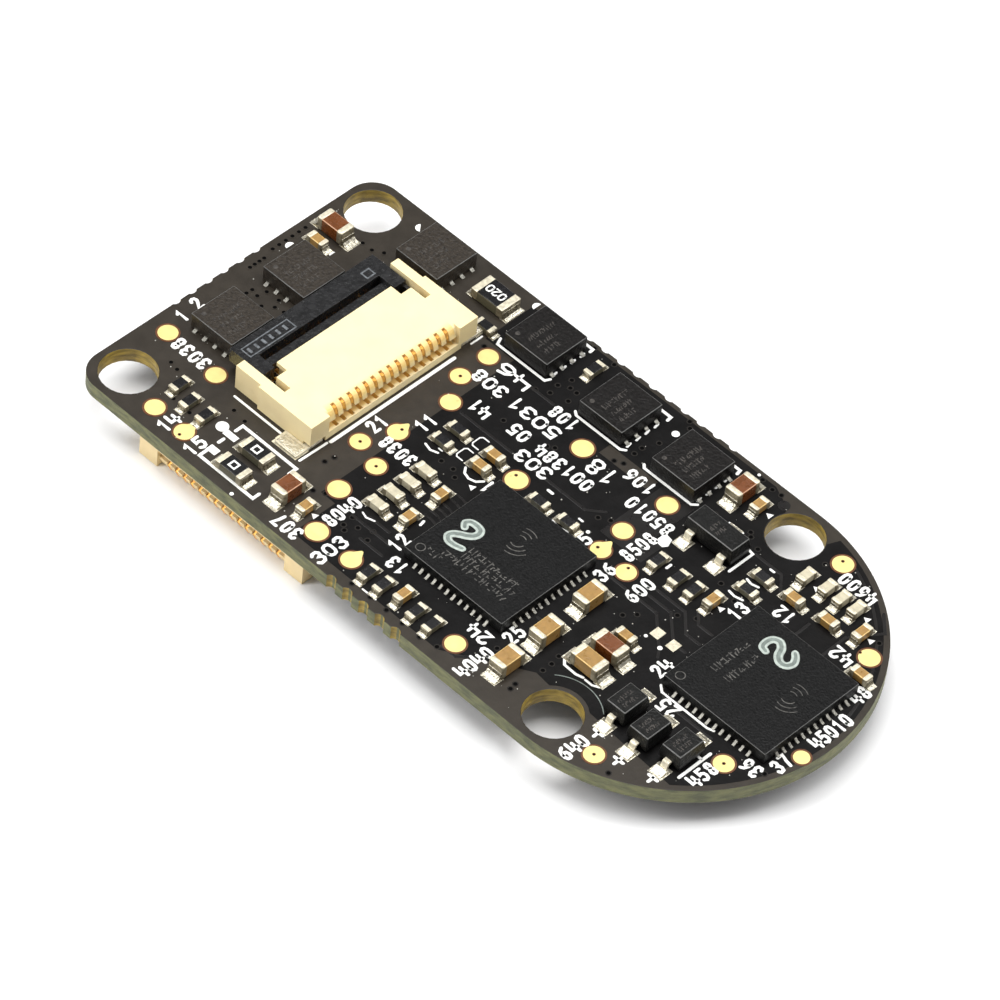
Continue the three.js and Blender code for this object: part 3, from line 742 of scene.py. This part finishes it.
def make_silkscreen():
    b = Build()
    for labels, turned in ((LABELS_ALONG_X, False), (LABELS_ALONG_Y, True)):
        for text, x, y, span in labels:
            numerals(b, text, x, y, span, turned)
    numerals(b, "18", 4.0, -20.1, 1.6, True, height=0.85)
    for x, y in ((-7.05, -30.55), (-7.5, -32.2), (-7.1, -33.85)):
        numerals(b, "+", x, y, 0.85, height=0.8)
    for width, points in LINES:
        b.stroke(points, width, SILK)
    # The foot of each motor driver's outline is broken by its leads
    for x0, y in ((6.55, -14.55), (5.95, -19.8), (5.95, -24.15)):
        for i in range(4):
            x = x0 + i * 0.6
            b.stroke([(x, y), (x + 0.25, y + 0.04)], 0.13, SILK)
    for x in (-0.23, 0.77):
        hood = [(0, -15.5), (0, -15.15), (0.12, -15.05), (0.58, -15.05), (0.7, -15.15), (0.7, -15.5)]
        b.stroke([(x + dx, y) for dx, y in hood], 0.07, SILK)
    b.stroke(arc_points(*SCREW_HOLES[3], 2.2, 42, -42, 22), 0.05, PAINT_THIN, 0.0, 0.01)
    for x, y in TRIANGLES:
        b.prism([(x - 0.18, y - 0.14), (x + 0.18, y - 0.14), (x, y + 0.17)], 0.0, INK, SILK, 0.005)
    b.prism(
        [(2.8, -24.55), (3.5, -24.5), (3.42, -25.0), (3.0, -25.15), (2.78, -25.0)], 0.0, INK, SILK, 0.006
    )
    for x, y, radius in DOTS:
        b.disc(x, y, radius, 0.0, INK, SILK, 0.005, 24)
    for x, y, turn in HALF_DISCS:
        b.prism(arc_points(x, y, 0.24, turn, turn + 180, 10), 0.0, INK, SILK, 0.005)
    b.box((-8.35, -8.0, 0), (-7.95, -7.45, 0.02), SILK, 0.008)
    b.box((-7.15, -8.0, 0), (-6.8, -7.25, 0.02), SILK, 0.008)
    b.finish("silkscreen", "circuit_board")


def make_dust():
    """A few specks of dust on the board's top face."""
    b = Build()
    for _ in range(320):
        x, y = rng.uniform(-9.0, 9.0), rng.uniform(-36.5, -0.5)
        if y < END_CENTRE and math.hypot(x, y - END_CENTRE) > 9.1:
            continue
        if min(math.hypot(x - hx, y - hy) for hx, hy in SCREW_HOLES) < 1.6:
            continue
        speck = rng.uniform(0.012, 0.035) * rng.uniform(0.6, 1.2)
        b.disc(x, y, speck, 0.0, 0.02, DUST, sides=6)
    b.finish("dust", "circuit_board")


# ---- two-terminal components


class Turned:
    """Passes shapes on to a Build, moved to a component's place and turned with it."""

    def __init__(self, build, x, y, turned):
        self.build, self.x, self.y, self.turned = build, x, y, turned

    def at(self, point):
        x, y, z = point
        if self.turned:
            x, y = -y, x
        return (self.x + x, self.y + y, z)

    def box(self, low, high, look, soft=0.0, segments=2, rim=None, side=None):
        base = [self.at(p) for p in corners(low, high)]
        self.build.extrude(base, (0, 0, high[2] - low[2]), look, soft, segments, rim, side)

    def sweep(self, profile, y0, y1, look, soft=0.0, side=None):
        """A profile in x and z, pushed along y."""
        start, end = self.at((0, y0, 0)), self.at((0, y1, 0))
        points = [self.at((x, y0, z)) for x, z in profile]
        self.build.extrude(points, Vector(end) - Vector(start), look, soft, 2, None, side)


def solder_joint(part, end, half_length, half_width, climb, reach):
    """A pad with a hollow fillet of solder that climbs a component's end."""
    x0, x1 = sorted((end * (half_length - 0.12), end * (half_length + reach)))
    part.box((x0, -half_width, 0.0), (x1, half_width, 0.022), SOLDER, 0.008)
    # Distances past the component's end, as shares of the fillet's reach, and heights
    fillet = [(0, 0.015), (0.92, 0.02), (0.72, 0.06), (0.42, climb * 0.26), (0.2, climb * 0.58)]
    foot = half_length - 0.02
    shape = [(foot + share * reach, z) for share, z in fillet] + [(foot + 0.03, climb), (foot, climb)]
    wide = half_width * 0.88
    # Painted shade: the fillet's steep faces take the darker solder
    part.sweep([(end * x, z) for x, z in shape], -wide, wide, SOLDER, 0.045, SOLDER_SHADED_SIDE)


def core(part, size, inset, low, high, look, soft, rim=None):
    """A block in the middle of a component, set in from its length and width."""
    x, y = size[0] / 2 - inset[0], size[1] / 2 - inset[1]
    part.box((-x, -y, low), (x, y, high), look, soft, 2, rim)


def terminals(part, size, cap, height, soft, segments, climb, reach, shift=0.0):
    """The two tinned ends of a component, with the solder that holds them."""
    half, wide = size[0] / 2, size[1] / 2
    for end in (-1, 1):
        low, high = sorted((end * (half - cap + shift * end), end * half))
        # Painted shade: the ends' steep sides take the darker tin
        part.box((low, -wide, 0.02), (high, wide, height), TIN, soft, segments, None, TIN_SHADED_SIDE)
        solder_joint(part, end, half, wide, climb, reach)


def capacitor(b, x, y, size, height, turned, look, climb, reach):
    part = Turned(b, x, y, turned)
    large = size[0] > 1.2
    cap = size[0] * (0.22 if large else 0.26)
    jitter = rng.uniform(-0.012, 0.012)
    # The body's rounded top edges take a painted highlight
    rim = {TAN: TAN_EDGE_HIGHLIGHT, BROWN: BROWN_EDGE_HIGHLIGHT}.get(look)
    core(part, size, (0.06, 0.022), 0.04, height - 0.03, look, 0.035, rim)
    terminals(part, size, cap, height, 0.09 if large else 0.065, 3, height * climb, reach, jitter)


def resistor(b, x, y, size, height, turned):
    part = Turned(b, x, y, turned)
    # The ceramic's sides carry the painted shade
    core(part, size, (0.03, 0.01), 0.03, height - 0.03, SHADED_ALUMINA, 0.012)
    core(part, size, (size[0] * 0.2, 0.02), height - 0.04, height, GLASS, 0.015)
    terminals(part, size, size[0] * 0.23, height - 0.012, 0.03, 2, height * 0.75, 0.24)


def make_capacitors():
    looks = {
        "large_brown": (BROWN, "brown_ceramic"),
        "large_tan": (TAN, "tan_ceramic"),
        "small_grey": (GREY, "grey_ceramic"),
        "small_tan": (TAN, "tan_ceramic"),
    }
    for node in sorted(n for n in NODES if "_capacitor_" in n):
        look, slot = looks[node.rsplit("_capacitor_", 1)[0]]
        x, y, low, high = centre(node)
        size = (high.x - low.x, high.y - low.y)
        turned = size[1] > size[0]
        size = tuple(sorted(size, reverse=True))
        large = size[0] > 1.2
        b = Build()
        capacitor(b, x, y, size, high.z, turned, look, 0.5 if large else 0.6, 0.46 if large else 0.3)
        b.stand_for(node, slot)


# Chip components without a CAD node of their own: where each stands, and 1 if it lies along y
RESISTORS = [
    (-6.68, -3.99, 0), (-7.06, -5.03, 0), (-7.11, -6.13, 0), (-8.2, -17.6, 0), (-8.2, -18.55, 0),
    (-8.2, -20.6, 0), (-8.2, -21.6, 0), (1.9, -25.55, 0), (1.85, -26.85, 0), (1.85, -27.8, 0),
    (-0.18, -14.2, 1), (0.82, -14.2, 1), (0.46, -19.63, 1), (0.54, -21.34, 1), (3.65, -29.34, 1),
    (4.7, -29.3, 1), (6.28, -10.49, 1), (8.11, -15.63, 0),
]
SMALL_CAPACITORS = [
    (-0.05, -16.43, 1), (0.86, -16.43, 1), (-2.39, -27.72, 1), (4.78, -31.09, 1), (4.95, -32.99, 1),
    (3.75, -36.04, 1), (-7.98, -19.59, 0), (2.01, -28.79, 0), (5.55, -34.44, 0),
]
SMALL_CHIP = (1.0, 0.5)


def make_small_parts():
    for i, (x, y, turned) in enumerate(RESISTORS):
        b = Build()
        resistor(b, x, y, SMALL_CHIP, 0.35, bool(turned))
        b.finish("chip_resistor_%d" % (i + 1), "chip_plastic")
    for i, (x, y, turned) in enumerate(SMALL_CAPACITORS):
        b = Build()
        capacitor(b, x, y, SMALL_CHIP, 0.5, bool(turned), TAN, 0.6, 0.28)
        b.finish("chip_capacitor_%d" % (i + 1), "tan_ceramic")


def frame_bars(low, high, width):
    """The four bars of a rectangular frame, each by two corners."""
    (x0, y0), (x1, y1) = low, high
    return (
        ((x0, y0), (x1, y0 + width)),
        ((x0, y1 - width), (x1, y1)),
        ((x0, y0 + width), (x0 + width, y1 - width)),
        ((x1 - width, y0 + width), (x1, y1 - width)),
    )


def make_marked_parts():
    x, y, low, high = centre("current_shunt")
    b = Build()
    part = Turned(b, x, y, True)
    size, top = (high.y - low.y, high.x - low.x), high.z
    # The ceramic's sides carry the painted shade
    core(part, size, (0.04, 0.015), 0.04, top - 0.03, SHADED_ALUMINA, 0.02)
    core(part, size, (0.36, 0.03), top - 0.05, top, GLASS, 0.025)
    terminals(part, size, 0.4, top - 0.01, 0.05, 3, top * 0.6, 0.3)
    numerals(b, "020", x, y, 1.13, True, 0.42, 0.085, top, 0.006)
    b.stand_for("current_shunt", "chip_plastic")
    for node in ("marked_fuse_1", "marked_fuse_2"):
        x, y, low, high = centre(node)
        b = Build()
        part = Turned(b, x, y, True)
        size, top = (high.y - low.y, high.x - low.x), high.z
        # The ceramic's sides carry the painted shade
        core(part, size, (0.03, 0.01), 0.03, top - 0.02, SHADED_ALUMINA, 0.02)
        core(part, size, (0.28, 0.01), top - 0.04, top, GLASS, 0.02)
        terminals(part, size, 0.3, top - 0.01, 0.04, 3, top * 0.75, 0.34)
        for start, end in frame_bars((-0.22, -0.22), (0.22, 0.22), 0.09):
            part.box((*start, top), (*end, top + 0.006), SILK)
        b.stand_for(node, "chip_plastic")


# ---- packages with pins


# Worn strokes in a unit box, from which the marks on chips are drawn at random
FLECKS = [
    [(0, 0), (0, 1)],
    [(0, 0.05), (0, 0.4)],
    [(0, 0.6), (0, 0.95)],
    [(0, 0.15), (0.3, 0.15)],
    [(0, 0.85), (0.3, 0.85)],
    [(0, 0.2), (0.25, 0.75)],
    [(0, 0.45), (0.18, 0.55)],
]


def marks(b, start, along, length, z, height, seed, look):
    """A worn row of small laser-marked strokes of no meaning, from a point, in one direction."""
    local = random.Random(seed)
    along = Vector(along)
    rise = Vector((-along.y, along.x))
    done = 0.0
    while done < length - 0.1:
        for fleck in local.sample(FLECKS, 2):
            points = []
            for u, v in fleck:
                points.append(
                    tuple(Vector(start) + along * (done + u * height) + rise * (v - 0.5) * height)
                )
            b.stroke(points, local.uniform(0.035, 0.06), look, z, 0.002)
        done += height * local.uniform(0.4, 0.75)


# A pin: half its width, low, high and depth. Its solder: half its width, heights at tip, middle and wall
QFN_PIN, QFN_TOE = (0.06, 0.05, 0.22, 0.12), (0.075, 0.03, 0.07, 0.17)
DRIVER_PIN, DRIVER_TOE = (0.1, 0.04, 0.16, 0.1), (0.1, 0.025, 0.05, 0.1)


def side_leads(b, x, y, half, side, alongs, pin, toe, reach):
    """Leads along one side, counted anticlockwise: pins in the package's wall and solder before them."""
    turn = Matrix.Rotation(math.pi / 2 * side, 4, "Z")
    pin_half, low, high, depth = pin
    toe_half, tip, middle, top = toe

    def put(points):
        return [tuple(Vector((x, y, 0)) + turn @ Vector(p)) for p in points]

    for along in alongs:
        x0, x1, wall = along - pin_half, along + pin_half, -half - 0.003
        face = put([(x0, wall, low), (x1, wall, low), (x1, wall, high), (x0, wall, high)])
        b.extrude(face, turn @ Vector((0, depth, 0)), PIN, 0.008)
        out = rng.uniform(*reach)
        profile = [(-half - out, 0.0), (-half - out, tip), (-half - out * 0.5, middle)]
        profile += [(-half, top), (-half + 0.1, top), (-half + 0.1, 0.0)]
        end = put([(along - toe_half, py, pz) for py, pz in profile])
        b.extrude(end, turn @ Vector((2 * toe_half, 0, 0)), PIN, 0.014)


# For each microcontroller: its stroke of paint, its rows of marks (start, direction and length) and
# the place of its plain emblem
PAINT_STROKES = [
    [
        (-4.4, -19.55), (-4.5, -19.2), (-4.5, -18.85), (-4.3, -18.62), (-4.05, -18.7), (-3.85, -18.95),
        (-3.7, -19.2), (-3.5, -19.4), (-3.25, -19.47), (-3.02, -19.35), (-2.95, -19.05), (-3.0, -18.75),
        (-3.2, -18.6), (-3.4, -18.75),
    ],
    [
        (1.35, -32.5), (1.45, -32.25), (1.8, -32.18), (2.1, -32.3), (2.2, -32.6), (1.95, -32.9),
        (1.6, -33.05), (1.35, -33.35), (1.4, -33.68), (1.7, -33.82), (2.0, -33.7), (2.2, -33.5),
    ],
]
MARK_ROWS = [
    [
        ((-4.15, -19.9), (0, -1), 2.9), ((-4.62, -19.9), (0, -1), 3.1), ((-5.1, -19.2), (0, -1), 3.7),
        ((-5.55, -18.6), (0, -1), 0.9)
    ],
    [((-1.1, -31.7), (1, 0), 2.3), ((-1.1, -32.5), (1, 0), 2.1)],
]
EMBLEMS = [(-2.2, -20.9), (0.2, -35.0)]


def make_microcontroller(node, paint, rows, emblem):
    x, y, low, high = centre(node)
    top, half = high.z, (high.x - low.x) / 2
    b = Build()
    # The body's rounded top edges take the painted highlight
    b.box((x - half, y - half, 0.05), (x + half, y + half, top), EPOXY, 0.02, rim=CHIP_EDGE_HIGHLIGHT)
    alongs = [-2.2 + 0.4 * i for i in range(12)]
    for side in range(4):
        side_leads(b, x, y, half, side, alongs, QFN_PIN, QFN_TOE, (0.2, 0.27))
    b.ring(x - half + 0.5, y + half - 0.5, 0.2, 0.24, top - 0.001, top + 0.002, LASER, 24)
    for i, (start, along, length) in enumerate(rows):
        marks(b, start, along, length, top, 0.36, 31 + i, LASER)
    # A worn plain emblem: a few nested arcs
    for i, reach in enumerate((0.35, 0.6, 0.85)):
        b.stroke(arc_points(*emblem, reach, 150 + 14 * i, 262 - 8 * i, 8), 0.045, LASER, top, 0.002)
        b.stroke(arc_points(*emblem, reach, 330, 392 - 6 * i, 6), 0.04, LASER, top, 0.002)
    b.stroke(smoothed(paint), 0.42, PAINT, top, 0.02, 0.85)
    b.stroke(smoothed(paint), 0.2, PAINT_THIN, top + 0.018, 0.006, 0.8)
    b.stand_for(node, "chip_plastic")


def make_driver(number):
    """Drivers 1 and 2, by the flat end, show one row of leads; the others show two."""
    node = "motor_driver_%d" % number
    x, y, low, high = centre(node)
    top, half = high.z, (high.x - low.x) / 2
    b = Build()
    look = WARM_EPOXY if number < 4 else DRIVER_EPOXY
    # The body's rounded top edges take the painted highlight
    b.box((x - half, y - half, 0.04), (x + half, y + half, top), look, 0.028, rim=CHIP_EDGE_HIGHLIGHT)
    alongs = [-0.975 + 0.65 * i for i in range(4)]
    for side in (3,) if number < 3 else (0, 2):
        side_leads(b, x, y, half, side, alongs, DRIVER_PIN, DRIVER_TOE, (0.15, 0.22))
    b.disc(x - half + 0.4, y + half - 0.4, 0.12, top - 0.001, top + 0.0015, DRIVER_LASER, sides=18)
    for i in range(3):
        start, length = (x - half + 0.5, y + 0.3 - 0.5 * i), 2 * half - 1.0 - 0.3 * i
        marks(b, start, (1, 0), length, top, 0.28, number * 5 + i, DRIVER_LASER)
    b.stand_for(node, "chip_plastic")


def bent_lead(start, reach, z_out, thick=0.11):
    """The profile of a flat lead that leaves a moulded body at a height, bends down and ends in a foot."""
    upper = [(-0.08, z_out), (0.14, z_out), (0.21, z_out - 0.04), (0.3, 0.16), (0.36, 0.12), (reach, 0.12)]
    low = z_out - thick
    lower = [(reach, 0.02), (0.28, 0.02), (0.2, 0.06), (0.12, low - 0.02), (0.08, low), (-0.08, low)]
    return [(start + x, z) for x, z in upper + lower]


def make_moulded(node, leads, half_width, body_half):
    """A moulded part. Each lead is a side, a place along it, and its pad's length and half width."""
    x, y, low, high = centre(node)
    top = high.z
    half_x, half_y = body_half
    b = Build()
    b.tapered((x - half_x, y - half_y, 0.08), (x + half_x, y + half_y, top), 0.09, DIODE_EPOXY, 0.035)
    for side, along, (pad, pad_half) in leads:
        part = Turned(b, x, y + along, False)
        shape = bent_lead(half_x, 0.52, top * 0.46)
        part.sweep([(side * px, pz) for px, pz in shape], -half_width, half_width, TIN, 0.012)
        px0, px1 = sorted((side * (half_x + 0.1), side * (half_x + pad)))
        part.box((px0, -pad_half, 0.0), (px1, pad_half, 0.024), SOLDER, 0.01)
        mound = [(0.14, 0.02), (pad - 0.04, 0.022), (pad - 0.2, 0.09), (0.42, 0.17), (0.2, 0.13)]
        wide = pad_half * 0.8
        part.sweep([(side * (half_x + px), pz) for px, pz in mound], -wide, wide, SOLDER, 0.03)
    for i in range(2):
        start = (x - half_x * 0.55, y + 0.16 - 0.36 * i)
        marks(b, start, (1, 0), half_x * 1.1, top, 0.22, int(abs(y) * 10) + i, DRIVER_LASER)
    b.stand_for(node, "chip_plastic")


REGULATOR_LEADS = [(-1, -0.95, (0.86, 0.38)), (-1, 0.95, (0.86, 0.38)), (1, 0.0, (0.72, 0.38))]
DIODE_LEADS = [(-1, 0.0, (0.88, 0.4)), (1, 0.0, (0.74, 0.38))]


# ---- ribbon-cable connectors


def connector_matrix(which):
    """From a connector's frame to the board's: x along its contacts, y from mouth to back, z up."""
    low, high = node_box(which + "_connector_housing")
    if which == "top":
        return Matrix.Translation(((low.x + high.x) / 2, low.y, 0))
    turn = Matrix(((0, 1, 0, 0), (1, 0, 0, 0), (0, 0, -1, 0), (0, 0, 0, 1)))
    return Matrix.Translation((low.x, (low.y + high.y) / 2, -THICKNESS)) @ turn


def paint_gold_reflection(m, node, half_width):
    """Paints a warm tint on the plastic among the contacts of a mouth that faces -Y: a painted reflection of
    the light their gold throws on it.
    """
    low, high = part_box(node)
    split = add(m, "SeparateXYZ")
    link(m, object_coords(m), "Object", split, "Vector")
    across = add(m, "Math")
    across.operation = "COMPARE"
    across.inputs[1].default_value = (low.x + high.x) / 2
    across.inputs[2].default_value = half_width * MM
    link(m, split, "X", across, 0)
    depth = add(m, "MapRange", From_Min=low.y, From_Max=low.y + 1.0 * MM)
    link(m, split, "Y", depth, "Value")
    stops = [(at, [level] * 3) for at, level in ((0.12, 0.0), (0.2, 1.0), (0.35, 1.0), (0.7, 0.0))]
    share = add(m, "Math")
    share.operation = "MULTIPLY"
    link(m, across, "Value", share, 0)
    link(m, ramp(m, depth, "Result", *stops), "Color", share, 1)
    shader = m.node_tree.nodes["Principled BSDF"]
    plain = shader.inputs["Base Color"].links[0].from_node
    tint = add(m, "Mix")
    tint.data_type = "RGBA"
    tint.blend_type = "MULTIPLY"
    tint.inputs[7].default_value = (1.0, 0.86, 0.56, 1.0)
    link(m, share, "Value", tint, 0)
    link(m, plain, "Color", tint, 6)
    link(m, tint, 2, shader, "Base Color")


def make_connector(which):
    prefix = which + "_connector_"
    frame_of = connector_matrix(which)
    body = which + "_lever"
    # The lower connector takes the darker cream, its shade painted in
    plastic = CREAM if which == "top" else CREAM_SHADED
    refined(prefix + "housing", prefix + "moulding", plastic, soft=0.022)
    refined(prefix + "lever", prefix + "flip_lever", BLACK_PLASTIC, body, soft=0.025)
    for side in ("left", "right"):
        refined(prefix + "solder_tab_" + side, prefix + "tab_" + side, TIN, soft=0.02)

    def local(build, name, slot, body_name):
        bmesh.ops.transform(build.bm, matrix=frame_of, verts=build.bm.verts)
        if frame_of.determinant() < 0:
            bmesh.ops.reverse_faces(build.bm, faces=build.bm.faces)
        return build.finish(prefix + name, slot, body_name)

    # Raised frames and bars on the lever, in a paler look: partly wear and debris, partly painted highlight
    b = Build()
    top = 1.3
    for start, end in frame_bars((-4.2, 5.0), (-1.3, 5.68), 0.06):
        b.box((*start, top - 0.01), (*end, top + 0.03), LEVER_MARK_WEAR_AND_SHEEN, 0.01)
    for i in range(6):
        x = -4.0 + i * 0.44
        b.box((x, 5.18, top - 0.01), (x + 0.14, 5.5, top + 0.03), LEVER_MARK_WEAR_AND_SHEEN, 0.01)
    for start, end in frame_bars((3.2, 5.06), (3.75, 5.54), 0.07):
        b.box((*start, top - 0.01), (*end, top + 0.025), LEVER_MARK_WEAR_AND_SHEEN, 0.01)
    local(b, "lever_marks", "lever_plastic", body)
    # Solder on the tabs and a pad under each contact's tail
    b = Build()
    for side in (-1, 1):
        x0, x1 = sorted((side * 5.42, side * 6.05))
        z = 0.168
        fillet = [(x0, 0.12, z), (x1, 0.12, z), (x1 - 0.05, 1.3, z), (x0 + 0.05, 1.38, z)]
        b.extrude(fillet, (0, 0, 0.05), SOLDER, 0.045)
        x0, x1 = sorted((side * 5.3, side * 6.14))
        b.box((x0, 0.02, 0.0), (x1, 1.55, 0.02), TIN, 0.008)
    for i in range(CONTACT_COUNT):
        x = CONTACT_PITCH * (i - (CONTACT_COUNT - 1) / 2)
        b.box((x - 0.11, 4.1, 0.0), (x + 0.11, 5.15, 0.024), TIN, 0.01)
    local(b, "solder", "tinned_metal", "board")


def make_contacts():
    """Sprung contacts: the CAD ones in the upper connector, the same shape again in the lower one."""
    to_lower = connector_matrix("bottom") @ connector_matrix("top").inverted()
    matrix = TO_ROW @ to_lower @ TO_ROW.inverted()
    uppers = [NODES["top_connector_contact_%d" % (i + 1)] for i in range(CONTACT_COUNT)]
    for upper in uppers:
        upper.material_slots[0].material = CONTACT
    for i, upper in enumerate(uppers):
        mesh = upper.data.copy()
        mesh.transform(matrix)
        if matrix.determinant() < 0:
            mesh.flip_normals()
        ready(bpy.data.objects.new("bottom_connector_contact_%d" % (i + 1), mesh))


make_board()
make_copper()
make_pads()
make_silkscreen()
make_dust()
make_capacitors()
make_small_parts()
make_marked_parts()
for i in range(2):
    make_microcontroller("microcontroller_%d" % (i + 1), PAINT_STROKES[i], MARK_ROWS[i], EMBLEMS[i])
for number in range(1, 7):
    make_driver(number)
make_moulded("voltage_regulator", REGULATOR_LEADS, 0.2, (0.65, 1.45))
for number in range(1, 4):
    make_moulded("diode_%d" % number, DIODE_LEADS, 0.18, (0.825, 0.625))
for which in ("top", "bottom"):
    make_connector(which)
# Painted reflection: a warm tint in the upper connector's mouth, among its gold contacts
paint_gold_reflection(CREAM, "top_connector_housing", 3.95)
make_contacts()

# ---- stage, light, camera

floor_build = bmesh.new()
bmesh.ops.create_grid(floor_build, x_segments=40, y_segments=40, size=1.5)
for v in floor_build.verts:
    v.co.z = -0.00002
floor = bpy.data.objects.new("floor", mesh_of(floor_build, "floor", [FLOOR]))
bpy.context.scene.collection.objects.link(floor)

world = bpy.data.worlds.new("studio")
bpy.context.scene.world = world
world.use_nodes = True
background = world.node_tree.nodes["Background"]
background.inputs["Color"].default_value = (1, 1, 1, 1)
background.inputs["Strength"].default_value = 0.24
bpy.context.scene.view_settings.view_transform = "Standard"


def softbox(name, direction, distance, size, power):
    light = bpy.data.lights.new(name, "AREA")
    light.shape = "RECTANGLE"
    light.size, light.size_y = size
    light.energy = power
    obj = bpy.data.objects.new(name, light)
    away = Vector(direction).normalized()
    obj.location = place(0, -19, 0) + away * distance
    obj.rotation_euler = away.to_track_quat("Z", "Y").to_euler()
    bpy.context.scene.collection.objects.link(obj)


softbox("overhead", (0.05, 0.1, 1.0), 0.4, (0.34, 0.34), 1.75)
softbox("left_strip", (-0.75, 0.5, 0.62), 0.4, (0.12, 0.3), 0.75)
softbox("right_strip", (0.62, -0.5, 0.62), 0.4, (0.12, 0.3), 0.6)

AZIMUTH, ELEVATION, ROLL, DISTANCE = (math.radians(-50.31), math.radians(47.71), math.radians(6.76), 270.4)
target = place(-0.635, -18.278, 0)
forward = Vector((
    -math.sin(AZIMUTH) * math.cos(ELEVATION), math.cos(AZIMUTH) * math.cos(ELEVATION), -math.sin(ELEVATION)
))
right = Vector((math.cos(AZIMUTH), math.sin(AZIMUTH), 0))
up = right.cross(forward)
right, up = (
    math.cos(ROLL) * right + math.sin(ROLL) * up,
    -math.sin(ROLL) * right + math.cos(ROLL) * up,
)
camera_data = bpy.data.cameras.new("camera")
camera_data.lens = 219.53
camera_data.sensor_width = 36
camera_data.clip_start = 0.01
camera_data.clip_end = 10
camera = bpy.data.objects.new("camera", camera_data)
basis = Matrix((right, up, -forward)).transposed().to_4x4()
camera.matrix_world = Matrix.Translation(target - forward * DISTANCE * MM) @ basis
bpy.context.scene.collection.objects.link(camera)
bpy.context.scene.camera = camera
